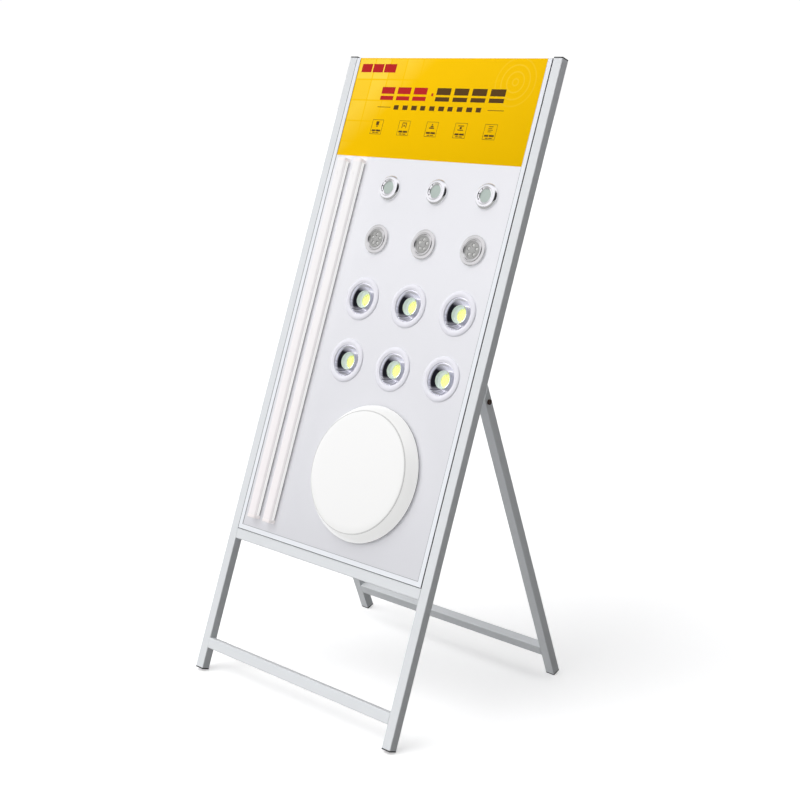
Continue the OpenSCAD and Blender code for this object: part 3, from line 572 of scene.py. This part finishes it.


# Milky plastic with a painted glow, emission that brightens it though it is not lit; each line is a band
# between two heights off the board with its depth of darkening, either painted shadow in a gap or crease or a
# dark seam line
def makeOpal(name, top, foot, paintedGlow, gloss, lines, paintedGlowStrength):
    low, high = boardSpan("batten_covers")
    material, tree, shader = newFinish(name)
    parts, out = heightOffBoard(tree)
    colour = blendColours(tree, remap(tree, parts["Z"], low.y, high.y), foot, top)
    skin = useGroup(tree, skinGroup, {"Vector": objectPlace(tree), "Colour": colour, "Drift": 0.01,
                                      "Peel Scale": 900.0, "Gloss": gloss, "Gloss Drift": 0.04})
    shade = 0.0
    for lowEdge, highEdge, depth in lines:
        above = remap(tree, out, (lowEdge - 0.1) * mm, (lowEdge + 0.1) * mm)
        below = remap(tree, out, (highEdge - 0.1) * mm, (highEdge + 0.1) * mm, depth, 0.0)
        shade = calc(tree, "MAXIMUM", shade, calc(tree, "MULTIPLY", above, below))
    shadowAndSeamColour = blendColours(tree, shade, skin["Colour"], (0.02, 0.02, 0.022, 1))
    setUp(shader, {"Base Color": shadowAndSeamColour, "Roughness": skin["Roughness"],
                   "Emission Color": blendColours(tree, shade, (*paintedGlow, 1), (0, 0, 0, 1)),
                   "Normal": bump(tree, skin["Height"], 0.2, 0.00001)},
          Emission_Strength=paintedGlowStrength, Coat_Weight=0.15)
    return material


def makeFrostedGlass():
    material, tree, shader = newFinish("frostedGlass")
    cloud = noise(tree, objectPlace(tree), 60.0, 3.0)
    colour = blendColours(tree, cloud, (0.8, 0.9, 0.83, 1), (0.88, 0.94, 0.9, 1))
    rough = remap(tree, noise(tree, objectPlace(tree), 900.0, 2.0), 0.3, 0.7, 0.1, 0.2)
    setUp(shader, {"Base Color": colour, "Roughness": rough}, Transmission_Weight=0.85, IOR=1.5)
    return material


def makeFrostedWindow():
    material, tree, shader = newFinish("frostedWindow")
    speckle = noise(tree, objectPlace(tree), 1500.0, 3.0, 0.7)
    colour = blendColours(tree, speckle, (0.36, 0.43, 0.4, 1), (0.55, 0.62, 0.58, 1))
    setUp(shader, {"Base Color": colour, "Normal": bump(tree, speckle, 0.4, 0.00005)}, Roughness=0.45,
          Transmission_Weight=0.1)
    return material


def makeLensPlastic():
    material, tree, shader = newFinish("lensPlastic")
    speckle = noise(tree, objectPlace(tree), 500.0, 3.0)
    colour = blendColours(tree, speckle, (0.3, 0.3, 0.295, 1), (0.4, 0.4, 0.39, 1))
    setUp(shader, {"Base Color": colour}, Roughness=0.18, Coat_Weight=0.5)
    return material


channelFinish = makeChannelFinish()
mirrorReflector = makeMirrorReflector()
boardLaminate = makeBoardLaminate()
headerPrint = makeHeaderPrint()
# All three carry a painted glow. Painted shadow: under the ceiling lamp's foot (2 to 5.2 mm), in its crease
# (31.2 to 32.5 mm) and in the housing's foot recess (-1 to 3.9 mm); the other bands are seam lines
opalDiffuser = makeOpal("opalDiffuser", (0.34, 0.34, 0.34, 1), (0.34, 0.31, 0.318, 1), (0.985, 0.96, 0.968),
                        0.25, [(12.9, 13.5, 0.4)], 0.55)
opalLamp = makeOpal("opalLamp", (0.3, 0.3, 0.3, 1), (0.3, 0.3, 0.3, 1), (1, 1, 0.99), 0.22,
                    [(2.0, 5.2, 0.97), (31.2, 32.5, 0.45)], 0.59)
housingPlastic = makeOpal("housingPlastic", (0.34, 0.34, 0.34, 1), (0.34, 0.33, 0.325, 1),
                          (0.99, 0.985, 0.98), 0.3, [(-1.0, 3.9, 0.97), (12.5, 14.0, 0.3)], 0.66)
frostedGlass = makeFrostedGlass()
frostedWindow = makeFrostedWindow()
lensPlastic = makeLensPlastic()
redInk = skinFinish("redInk", (0.47, 0.012, 0.012), 0.45, 0.05, 0.1, 1500, 0.00001, Specular_IOR_Level=0.1)
brownInk = skinFinish("brownInk", (0.085, 0.04, 0.005), 0.45, 0.05, 0.1, 1500, 0.00001,
                      Specular_IOR_Level=0.1)
clearPlastic = skinFinish("clearPlastic", (0.62, 0.62, 0.61), 0.08, 0.03, 0.1, 900, 0.00001, Coat_Weight=0.8)
# end cap plastic with a painted glow: emission that brightens it though it is not lit
endCapPlastic = skinFinish("endCapPlastic", (0.52, 0.48, 0.48), 0.32, 0.06, 0.02, 1200, 0.00001,
                           Emission_Color=(1, 0.97, 0.965, 1), Emission_Strength=0.38)

finishOfSlot = {
    "frame_paint": framePaint, "plug_plastic": plugPlastic, "black_oxide": blackOxide,
    "zinc_plate": zincPlate, "channel_finish": channelFinish, "board_laminate": boardLaminate,
    "header_print": headerPrint,
    "white_plastic": whitePlastic, "circuit_board": circuitBoard, "diffuser_plastic": opalDiffuser,
    "spring_steel": springSteel, "chrome_plate": chromePlate, "frosted_glass": frostedGlass,
    "satin_metal": satinMetal, "lens_plastic": lensPlastic, "cast_aluminium": castAluminium,
    "white_lamp_paint": whiteLampPaint, "mirror_reflector": mirrorReflector, "phosphor": phosphor,
}
for part in frame["record"]["subparts"]:
    slots = frame["nodes"][part["node"]].data.materials
    slots.clear()
    slots.append(finishOfSlot[part["material_slot"]])
print("finishes ready")

# ---- shared moves on lamps and frame pieces ----


def inMm(points):
    return [(a * mm, b * mm) for a, b in points]


def lampPlaces(nodeName):  # the middle of each lamp on the board's face
    return [board @ Matrix.Translation(((low.x + high.x) / 2, (low.y + high.y) / 2, 0))
            for low, high in solidSpans(nodeName)]


def refine(nodeName, name, finish, width):  # a node's own solids with worked edges
    copies = nodeCopies(nodeName)
    for number, copy in enumerate(copies, 1):
        pick(copy)
        editMode()
        bpy.ops.mesh.dissolve_limited(angle_limit=math.radians(1))
        objectMode()
        roundEdges(copy, width * mm)
        settle(copy, f"{name}{number}" if len(copies) > 1 else name, nodeName, finish)


# ---- downlights ----

downlight = {
    "rim": 51.5, "rimFoot": 50.6, "crown": 4.0, "mouth": 37.5, "collar": 42.0, "collarDepth": 10.0,
    "bowlMouth": 36.0, "bowlFloor": 22.0, "bowlDepth": 27.0, "bowlWall": 1.0, "bowlRows": 18,
    "lensRadius": 21.0, "lensHeight": 25.0, "lensEdge": 2.6, "lensWell": 14.3, "wellHeight": 3.4,
    "skirtDrop": 3.4, "skirtGap": 0.5, "skirtWall": 0.3, "cobRadius": 13.9,
}


def makeFlange(d):
    crown = arc((d["rim"] - 8.5, 0.8), 8.5, d["crown"] - 0.8, 0, 90, 10)
    lip = arc((d["mouth"] + 1.3, 1.8), 1.3, 1.3, 90, 180, 5)
    dish = [(42.0, 3.9), (41.2, 3.55), (40.2, 3.2)]
    low = -d["collarDepth"]
    collar = [(d["mouth"], low), (d["collar"], low), (d["collar"], 0), (d["rimFoot"], 0)]
    return lathe(inMm([(d["rimFoot"], 0), (d["rim"] - 0.25, 0.3)] + crown + dish + lip + collar), 96)


def makeReflector(d):
    turns = [math.pi / 2 * row / d["bowlRows"] for row in range(d["bowlRows"] + 1)]
    rise = d["bowlMouth"] - d["bowlFloor"]
    inner = [(d["bowlFloor"] + rise * math.cos(turn), -d["bowlDepth"] * math.sin(turn)) for turn in turns]
    outer = [(radius + d["bowlWall"], height) for radius, height in reversed(inner)]
    return lathe(inMm(inner + outer + inner[:1]), 96)


def makeLampLens(d):
    base = -d["bowlDepth"]
    top = base + d["lensHeight"]
    rounding = d["lensEdge"]
    edge = arc((d["lensRadius"] - rounding, top - 0.6 - rounding), rounding, rounding, 0, 90, 6)
    ring = [(17.2, top - 0.7), (16.8, top - 1.1), (16.2, top - 1.1)]
    dome = [(16.0 * math.cos(turn), top - 1.1 + 1.1 * math.sin(turn))
            for turn in (math.pi / 2 * step / 6 for step in range(1, 6))]
    ceiling = base + d["wellHeight"]
    well = [(0, top), (0, ceiling), (d["lensWell"], ceiling), (d["lensWell"], base)]
    return lathe(inMm([(d["lensWell"], base), (d["lensRadius"], base)] + edge + ring + dome + well), 64)


def makeSkirt(d):  # frosted shell inside the drum, closed underneath around the light-emitting disc
    low = -d["bowlDepth"] + 0.1
    high = d["lensHeight"] - d["bowlDepth"] - d["skirtDrop"]
    radius = d["lensRadius"] - d["skirtGap"]
    within = radius - d["skirtWall"]
    hole = d["lensWell"] + 0.2
    outline = [(hole, low), (radius, low), (radius, high), (within, high), (within, low + 0.4),
               (hole, low + 0.4), (hole, low)]
    return lathe(inMm(outline), 64)


def makeCob(d):  # white base, and a domed disc of phosphor inside a low dam
    low = -d["bowlDepth"]
    rim = d["cobRadius"]
    dam = [(rim, low + 1.5), (rim - 0.3, low + 1.8), (13.2, low + 2.2), (12.8, low + 2.2), (12.6, low + 2.0)]
    dome = [(12.4 * part / 6, low + 2.4 - 0.4 * (part / 6) ** 2) for part in range(6, -1, -1)]
    return lathe(inMm([(0, low), (rim, low)] + dam + dome), 56)


def makeFrost(d):  # pale green frosting seen through the glass, grey on the sleeve's outside, all with a painted glow standing in for the light that the glass keeps out
    material, tree, shader = newFinish("lensFrost")
    parts = addNode(tree, "SeparateXYZ", {"Vector": lampPlace(tree)}).outputs
    sleeve = (d["lensRadius"] - d["skirtGap"] - 0.1) * mm
    outside = remap(tree, distanceFrom(tree, parts["X"], parts["Y"]), sleeve - 0.1 * mm, sleeve)
    cloud = noise(tree, objectPlace(tree), 300.0, 3.0)
    pale = blendColours(tree, cloud, (0.44, 0.5, 0.47, 1), (0.5, 0.55, 0.53, 1))
    colour = blendColours(tree, outside, pale, (0.34, 0.34, 0.4, 1))
    setUp(shader, {"Base Color": colour, "Emission Color": colour}, Roughness=0.4, Emission_Strength=0.5)
    return material


def makeLampGlass():
    material, tree, shader = newFinish("lampGlass")
    cloud = noise(tree, objectPlace(tree), 80.0, 3.0)
    colour = blendColours(tree, cloud, (0.93, 0.98, 0.95, 1), (1, 1, 1, 1))
    rough = remap(tree, noise(tree, objectPlace(tree), 900.0, 2.0), 0.3, 0.7, 0.02, 0.06)
    setUp(shader, {"Base Color": colour, "Roughness": rough}, Transmission_Weight=1.0, IOR=1.5)
    return material


lampGlass = makeLampGlass()
lensFrost = makeFrost(downlight)
places = lampPlaces("downlight_flanges")
settleCopies(makeFlange(downlight), "downlightFlange", "downlight_flanges", places, whiteLampPaint)
settleCopies(keepLocal(makeReflector(downlight)), "downlightBowl", "downlight_reflectors", places,
             mirrorReflector)
settleCopies(keepLocal(makeLampLens(downlight)), "downlightLens", "downlight_lenses", places, lampGlass)
settleCopies(keepLocal(makeSkirt(downlight)), "downlightSkirt", "downlight_lenses", places, lensFrost)
settleCopies(makeCob(downlight), "downlightCob", "downlight_cobs", places, phosphor)
print("downlights ready")

# ---- puck lights ----

puck = {
    "rim": 30.5, "rimWall": 1.5, "crown": 9.0, "mouth": 20.0, "throat": 15.0, "windowTop": 5.0,
    "windowRadius": 17.4, "windowThick": 2.0, "dotTurns": (130, 170, 210), "dotRing": 18.2, "dotRadius": 1.6,
    "dotPlay": 0.05,
}


def ringSpot(radius, turn):  # a place on a lamp's own ring, radius in mm and turn in degrees
    way = math.radians(turn)
    return Vector((radius * mm * math.cos(way), radius * mm * math.sin(way), 0))


def makePuckBody(p):
    shoulder = [(p["rim"], 3.4), (p["rim"] - 0.3, 4.0), (p["rim"] - 3.3, 7.1), (p["rim"] - 4.3, 7.5)]
    bead = arc((p["mouth"] + 1.6, p["crown"] - 0.8), 1.3, 0.8, 80, 170, 6)
    dish = [(p["mouth"] - 0.4, 7.9), (p["throat"] + 1.3, 7.5)]
    wall = p["rim"] - p["rimWall"]
    inside = [(p["throat"] + 0.5, 6.9), (p["throat"], 6.2), (p["throat"], 5.02), (19.6, 5.02),
              (wall - 0.8, 4.6), (wall, 4.0), (wall, 0)]
    outline = [(wall, 0), (p["rim"] - 0.3, 0), (p["rim"], 0.3)] + shoulder + bead + dish + inside
    body = lathe(inMm(outline), 72)
    for turn in p["dotTurns"]:
        tool = newRod(p["dotRadius"] * mm, 4 * mm, 10 * mm)
        pick(tool)
        bpy.ops.transform.translate(value=ringSpot(p["dotRing"], turn))
        bpy.ops.object.transform_apply(location=True, rotation=True, scale=True)
        cutWith(body, tool)
    return body


def makePuckDots(p):  # dark stops set low in the three small holes: painted shade, dark pieces standing in for the shade inside them
    dots = []
    for turn in p["dotTurns"]:
        shadePlug = newRod(p["dotRadius"] * mm - p["dotPlay"] * mm, 5.1 * mm, 7.6 * mm)
        shadePlug.location = ringSpot(p["dotRing"], turn)
        roundEdges(shadePlug, 0.15 * mm)
        dots.append(shadePlug)
    return joined(*dots)


def makePuckWindow(p):
    top = p["windowTop"]
    face = [(p["throat"] * math.cos(turn), top - 0.02 + 0.5 * math.sin(turn))
            for turn in (math.pi / 2 * step / 5 for step in range(6))]
    face[-1] = (0, face[-1][1])
    low = top - p["windowThick"]
    rim = [(0, low), (p["windowRadius"], low), (p["windowRadius"], top - 0.1)]
    return lathe(inMm(rim + face), 64)


places = lampPlaces("puck_bodies")
settleCopies(keepLocal(makePuckBody(puck)), "puckBody", "puck_bodies", places, chromePlate)
settleCopies(makePuckDots(puck), "puckDots", "puck_bodies", places, plugPlastic)
settleCopies(makePuckWindow(puck), "puckWindow", "puck_windows", places, frostedWindow)
print("puck lights ready")

# ---- spotlights ----

spot = {
    "foot": 32.2, "rim": 35.0, "rimHeight": 4.0, "bead": 25.0, "crown": 7.0, "face": 20.6, "seat": 21.8,
    "plateRadius": 21.2, "plateFoot": 0.9, "plateTop": 4.2, "cupRing": 11.5, "cups": 5, "cupRadius": 5.0,
    "cupFloor": 1.6, "lensRadius": 4.1, "lensTop": 4.6,
}


def makeBezel(s):
    rim = arc((s["rim"] - 1.0, s["rimHeight"]), 1.0, 1.0, -50, 75, 6)
    bead = arc((s["bead"], s["crown"] - 0.9), 1.3, 0.9, 10, 170, 8)
    step = [(28.2, 6.0), (27.4, 5.5), (26.9, 5.5)]
    inside = [(22.6, 5.0), (21.2, 5.4), (s["face"], 5.0), (s["face"], 4.25), (s["seat"], 4.25),
              (s["seat"], 0.02)]
    return lathe(inMm([(s["seat"], 0.02), (s["foot"], 0.02)] + rim + step + bead + inside), 96)


def makeLensPlate(s):
    top = s["plateTop"]
    foot = s["plateFoot"]
    rim = s["plateRadius"]
    groove = [(19.2, top), (18.8, top - 0.6), (18.2, top - 0.6), (17.8, top)]
    crown = [(6.2, top), (5.6, top + 0.15), (0, top + 0.2)]
    plate = lathe(inMm([(0, foot), (rim, foot), (rim, top - 0.3), (rim - 0.3, top)] + groove + crown), 64)
    floor = s["cupFloor"]
    mouth = s["cupRadius"]
    hollow = [(0, floor), (mouth - 1.2, floor), (mouth, top + 0.05), (mouth, top + 1), (0, top + 1)]
    for number in range(s["cups"]):
        cup = lathe(inMm(hollow), 28)
        pick(cup)
        bpy.ops.transform.translate(value=ringSpot(s["cupRing"], 90 + 360 * number / s["cups"]))
        bpy.ops.object.transform_apply(location=True, rotation=True, scale=True)
        cutWith(plate, cup)
    return plate


def makeCupLenses(s):  # five small domes standing in the cups
    low = s["cupFloor"]
    dome = [(s["lensRadius"] * math.cos(turn), low + 0.7 + (s["lensTop"] - low - 0.7) * math.sin(turn))
            for turn in (math.pi / 2 * step / 6 for step in range(7))]
    dome[-1] = (0, dome[-1][1])
    model = lathe(inMm([(0, low + 0.05), (3.7, low + 0.05)] + dome), 24)
    lenses = []
    for number in range(s["cups"]):
        place = Matrix.Translation(ringSpot(s["cupRing"], 90 + 360 * number / s["cups"]))
        lenses.append(copyTo(model, place))
    bpy.data.objects.remove(model)
    return joined(*lenses)


places = lampPlaces("spot_bezels")
settleCopies(keepLocal(makeBezel(spot)), "spotBezel", "spot_bezels", places, satinMetal)
settleCopies(makeLensPlate(spot), "spotLensPlate", "spot_lens_plates", places, lensPlastic)
settleCopies(makeCupLenses(spot), "spotCupLenses", "spot_lens_plates", places, clearPlastic)
print("spotlights ready")

# ---- ceiling lamp ----

ceilingLamp = {
    "rim": 157.5, "lift": 3.0, "wall": 2.0, "faceRadius": 138.5, "edge": 3.0, "edgeHeight": 30.5,
    "dome": 42.0, "crease": 0.9, "wallFoot": 5.5, "lean": 15.5, "leanPower": 1.5, "innerEdge": (139, 29),
}


def makeCeilingDiffuser(c):
    foot = arc((c["rim"] - 1.2, c["lift"] + 1.2), 1.2, 1.2, -90, 0, 4)
    rise = c["edgeHeight"] - c["wallFoot"]
    wall = [(c["rim"] - c["lean"] * share ** c["leanPower"], c["wallFoot"] + rise * share)
            for share in (part / 6 for part in range(1, 6))]
    edge = arc((c["faceRadius"], c["edgeHeight"]), c["edge"], c["edge"], 0, 52, 6)
    lipR, lipZ = edge[-1]
    crease = [(lipR - 0.3, lipZ - c["crease"]), (lipR - 1.1, lipZ - c["crease"]), (lipR - 1.6, lipZ + 0.5)]
    start = lipR - 2.4
    dome = [(start * (1 - part / 10), c["dome"] - (c["dome"] - lipZ - 0.9) * (1 - part / 10) ** 2)
            for part in range(11)]
    inner = [(0, c["dome"] - c["wall"]), (start - 1, lipZ - 2.2), c["innerEdge"], (c["rim"] - c["wall"], 5),
             (c["rim"] - c["wall"], c["lift"])]
    return lathe(inMm(foot + wall + edge + crease + dome + inner + foot[:1]), 128)


settleCopies(makeCeilingDiffuser(ceilingLamp), "ceilingDiffuser", "ceiling_diffuser",
             lampPlaces("ceiling_diffuser"), opalLamp)
print("ceiling lamp ready")

# ---- battens ----

batten = {
    "halfWidth": 13.5, "coverHalf": 13.0, "seam": 13.0, "coverTop": 19.0, "corner": 4.0, "dome": 0.5,
    "slotDrop": 27.0, "slotLength": 11.0, "slotWidth": 1.5, "capEdge": 1.6,
}
# An outline lies flat on the floor's plane as drawn; this stands its length up the board
standing = board @ Matrix(((-1, 0, 0, 0), (0, 0, 1, 0), (0, 1, 0, 0), (0, 0, 0, 1)))


def domedOutline(half, low, high, corner, dome):
    right = arc((half - corner, high - dome - corner), corner, corner, 0, 80, 6)
    crest = [(half * 0.35, high - dome * 0.3), (0, high)]
    left = [(-x, y) for x, y in reversed(right + crest[:1])]
    return [(half, low)] + right + crest + left + [(-half, low)]


def makeCover(b, length):
    outline = domedOutline(b["coverHalf"], b["seam"] + 0.15, b["coverTop"], b["corner"], b["dome"])
    cover = extrudeOutline(inMm(outline), length)
    half = b["slotWidth"] * mm / 2
    high = length - b["slotDrop"] * mm
    cutWith(cover, newBlock((-half, 16.5 * mm, high - b["slotLength"] * mm), (half, 21 * mm, high)))
    return cover


def makeEndCap(b, length):
    outline = domedOutline(b["halfWidth"], 0.0, b["coverTop"], b["corner"], b["dome"])
    cap = extrudeOutline(inMm(outline), length)
    selectEdges(cap, lambda centre, way: centre.z > length - mm / 10 and centre.y > mm)
    bpy.ops.mesh.bevel(offset=b["capEdge"] * mm, segments=3, affect="EDGES")
    objectMode()
    return cap


for number, (low, high) in enumerate(solidSpans("batten_covers"), 1):
    middle = (low.x + high.x) / 2
    place = standing @ Matrix.Translation((-middle, 0, low.y))
    cover = makeCover(batten, high.y - low.y)
    settleCopies(cover, f"battenCover{number}_", "batten_covers", [place], opalDiffuser)
upsideDown = Matrix.Rotation(math.pi, 4, "Y")
for number, (low, high) in enumerate(solidSpans("batten_end_caps"), 1):
    middle = (low.x + high.x) / 2
    isTop = number <= 2
    place = standing @ Matrix.Translation((-middle, 0, low.y if isTop else high.y))
    if not isTop:
        place = place @ upsideDown
    cap = makeEndCap(batten, high.y - low.y)
    settleCopies(cap, f"battenEndCap{number}_", "batten_end_caps", [place], endCapPlastic)
refine("batten_housings", "battenHousing", housingPlastic, 0.3)
print("battens ready")

# ---- header print ----

header = {  # plain blocks, dashes and signs, in mm from the sheet's lower left corner
    "thick": 0.12, "corner": 0.35, "lift": 0.01,
    "bars": [(12, 209, 46, 230), (50, 209, 84, 230), (88, 209, 126, 230)],
    "title": [(98, 42), (150, 42), (202, 42)],
    "titleDark": [(274, 43), (328, 43), (382, 43), (436, 43)], "titleDot": (259, 153, 265, 160),
    "titleHeight": (141, 173), "titleSplit": 0.4, "titleGap": 2.6,
    "subline": (150, 118, 129, 10, 28.3, 15), "dashes": [(96, 139), (439, 486)],
    "icons": (92.5, 87.7, 36, 56, 0.9), "captions": ((63, 67.5, 4), (58.5, 60.5, 8)),
    "signs": [
        [(-4.5, -1, 4.5, 8), (-2, -5.5, 2, -2.2)],
        [(-7, 5.6, 7, 7.6), (-7, -6, -5, 5), (5, -6, 7, 5), (-2, -2, 2, 2)],
        [(-1.6, 4, 1.6, 7.5), (-4.5, 0, 4.5, 2.8), (-7.5, -4.2, 7.5, -1.2)],
        [(-8.5, 4.4, 8.5, 6.4), (-3.2, -2, 3.2, 3), (-8.5, -5.4, 8.5, -3.4)],
        [(-7, 6, 7, 7.4), (-7, 2, 4, 3.4), (-7, -2, 7, -0.6), (-7, -6, 4, -4.6)],
    ],
}


def printBlock(left, low, right, high):  # one thin printed patch
    base = headerLow + Vector((left * mm, low * mm, 0))
    far = headerLow + Vector((right * mm, high * mm, header["thick"] * mm))
    patch = newBlock(base, far)
    selectEdges(patch, lambda centre, way: abs(way.z) > abs(way.x) + abs(way.y))
    corner = min(header["corner"], (right - left) / 3, (high - low) / 3)
    bpy.ops.mesh.bevel(offset=corner * mm, segments=2, affect="EDGES")
    objectMode()
    return patch


def printBlockRow(places, low, high):  # plain blocks in place of words: a broad bar over a thinner one
    split = low + (high - low) * header["titleSplit"]
    gap = header["titleGap"]
    patches = []
    for left, width in places:
        patches += [printBlock(left, split + gap, left + width, high),
                    printBlock(left, low, left + width, split - gap)]
    return patches


def makeIcons(h):  # five framed signs built from plain bars, each with two rows of caption dashes
    first, pitch, size, low, edge = h["icons"]
    patches = []
    for number, sign in enumerate(h["signs"]):
        left = first + pitch * number
        right = left + size
        high = low + size
        patches += [printBlock(left, low, right, low + edge), printBlock(left, high - edge, right, high),
                    printBlock(left, low + edge, left + edge, high - edge),
                    printBlock(right - edge, low + edge, right, high - edge)]
        x = (left + right) / 2
        y = low + size * 0.66
        patches += [printBlock(x + x1, y + y1, x + x2, y + y2) for x1, y1, x2, y2 in sign]
        for captionLow, captionHigh, inset in h["captions"]:
            patches += [printBlock(left + inset, captionLow, left + 16, captionHigh),
                        printBlock(left + 18, captionLow, right - inset, captionHigh)]
    return patches


def makeSubline(h):
    left, low, high, count, pitch, width = h["subline"]
    patches = [printBlock(left + pitch * number, low, left + pitch * number + width + number % 3, high)
               for number in range(count)]
    middle = (low + high) / 2
    return patches + [printBlock(start, middle - 0.7, end, middle + 0.7) for start, end in h["dashes"]]


def layPrint(patches, name, finish):  # the patches were drawn in the board's own plane
    patch = joined(*patches)
    patch.matrix_world = board @ patch.matrix_world
    settle(patch, name, "header_sheet", finish)


refine("header_sheet", "headerSheet", headerPrint, 0.05)
sheetLow, sheetHigh = boardSpan("header_sheet")
headerLow = Vector((sheetLow.x, sheetLow.y, sheetHigh.z + header["lift"] * mm))
redPatches = [printBlock(*bar) for bar in header["bars"] + [header["titleDot"]]]
layPrint(redPatches + printBlockRow(header["title"], *header["titleHeight"]), "headerRedPrint", redInk)
darkPatches = printBlockRow(header["titleDark"], *header["titleHeight"])
layPrint(darkPatches + makeSubline(header) + makeIcons(header), "headerDarkPrint", brownInk)
print("header print ready")

# ---- frame pieces with worked edges ----

refine("downlight_heat_sinks", "downlightHeatSink", castAluminium, 0.35)
refine("spot_heat_sinks", "spotHeatSink", castAluminium, 0.3)
refine("pivot_bolts", "pivotBolt", blackOxide, 0.35)
refine("pivot_nuts", "pivotNut", zincPlate, 0.3)
refine("top_plugs", "topPlug", plugPlastic, 0.35)
refine("front_foot_plugs", "frontFootPlug", plugPlastic, 0.35)
refine("rear_foot_plugs", "rearFootPlug", plugPlastic, 0.35)
print("frame pieces ready")

# ---- studio ----


def setUpFloor():
    paper = {"size": 60, "seen": (0.9, 0.9, 0.905, 1), "bounce": (0.42, 0.42, 0.42, 1), "lift": 0.3}
    bpy.ops.mesh.primitive_plane_add(size=paper["size"], location=(0, 0, 0))
    floor = bpy.context.object
    floor.name = "studioFloor"
    material, tree, shader = newFinish("floorPaper")
    seen = addNode(tree, "LightPath").outputs["Is Camera Ray"]
    mottle = noise(tree, objectPlace(tree), 3.0, 2.0)
    pale = blendColours(tree, calc(tree, "MULTIPLY", mottle, 0.2), paper["seen"], (1, 1, 1, 1))
    setUp(shader, {"Base Color": blendColours(tree, seen, paper["bounce"], pale),
                   "Emission Strength": calc(tree, "MULTIPLY", seen, paper["lift"])},
          Roughness=0.9, Emission_Color=(1, 1, 1, 1), Specular_IOR_Level=0.1)
    floor.data.materials.append(material)


def setUpSky():  # white to the camera, dim for the fill, and a lit room with dark corners in mirrors
    sky = {"seen": 1.02, "fill": 0.13, "lit": (1.0, 0.985, 1.03, 1),
           "darkSide": ((0.72, -0.62, 0.32), 0.66, 0.86, 0.98),
           "dimCorner": ((-0.5, 0.35, 0.79), 0.7, 0.93, 0.6)}
    world = bpy.data.worlds.new("studioSky")
    bpy.context.scene.world = world
    world.use_nodes = True
    tree = world.node_tree
    back = tree.nodes["Background"]
    path = addNode(tree, "LightPath").outputs
    towards = addNode(tree, "TexCoord").outputs["Generated"]
    room = sky["lit"]
    for corner in ("darkSide", "dimCorner"):
        way, edge, core, depth = sky[corner]
        links = {0: towards, 1: Vector(way).normalized()}
        facing = addNode(tree, "VectorMath", links, operation="DOT_PRODUCT")
        shade = remap(tree, facing.outputs["Value"], edge, core, 0.0, depth)
        room = blendColours(tree, shade, room, (0.012, 0.01, 0.014, 1))
    fill = (sky["fill"], sky["fill"], sky["fill"], 1)
    soft = blendColours(tree, path["Is Glossy Ray"], fill, room)
    white = (sky["seen"],) * 3 + (1,)
    tree.links.new(blendColours(tree, path["Is Camera Ray"], soft, white), back.inputs["Color"])


def addSoftSun(name, towards, softness, strength, shadows=True):
    bpy.ops.object.light_add(type="SUN")
    lamp = bpy.context.object
    lamp.name = name
    lamp.data.angle = math.radians(softness)
    lamp.data.energy = strength
    lamp.data.use_shadow = shadows
    lamp.visible_glossy = False
    lamp.rotation_euler = Vector(towards).to_track_quat("Z", "Y").to_euler()


def setUpCamera():
    view = {"place": (2.2626, -2.331, 1.4376), "azimuth": 43.21, "elevation": 13.23, "roll": 0.225,
            "lens": 64.87}
    bpy.ops.object.camera_add()
    camera = bpy.context.object
    turns = (Matrix.Rotation(math.radians(view["azimuth"]), 4, "Z")
             @ Matrix.Rotation(math.radians(90 - view["elevation"]), 4, "X")
             @ Matrix.Rotation(math.radians(view["roll"]), 4, "Z"))
    camera.matrix_world = Matrix.Translation(view["place"]) @ turns
    camera.data.lens = view["lens"]
    camera.data.sensor_width = 36
    bpy.context.scene.camera = camera


setUpFloor()
setUpSky()
addSoftSun("frontFill", (-0.4, -0.8, 0.7), 60, 1.95, shadows=False)
addSoftSun("keyLight", (-0.45, -0.75, 0.9), 50, 0.5)
addSoftSun("topLight", (-0.15, -0.02, 1), 70, 1.1)
setUpCamera()
bpy.context.scene.view_settings.view_transform = "Standard"
print("studio ready")
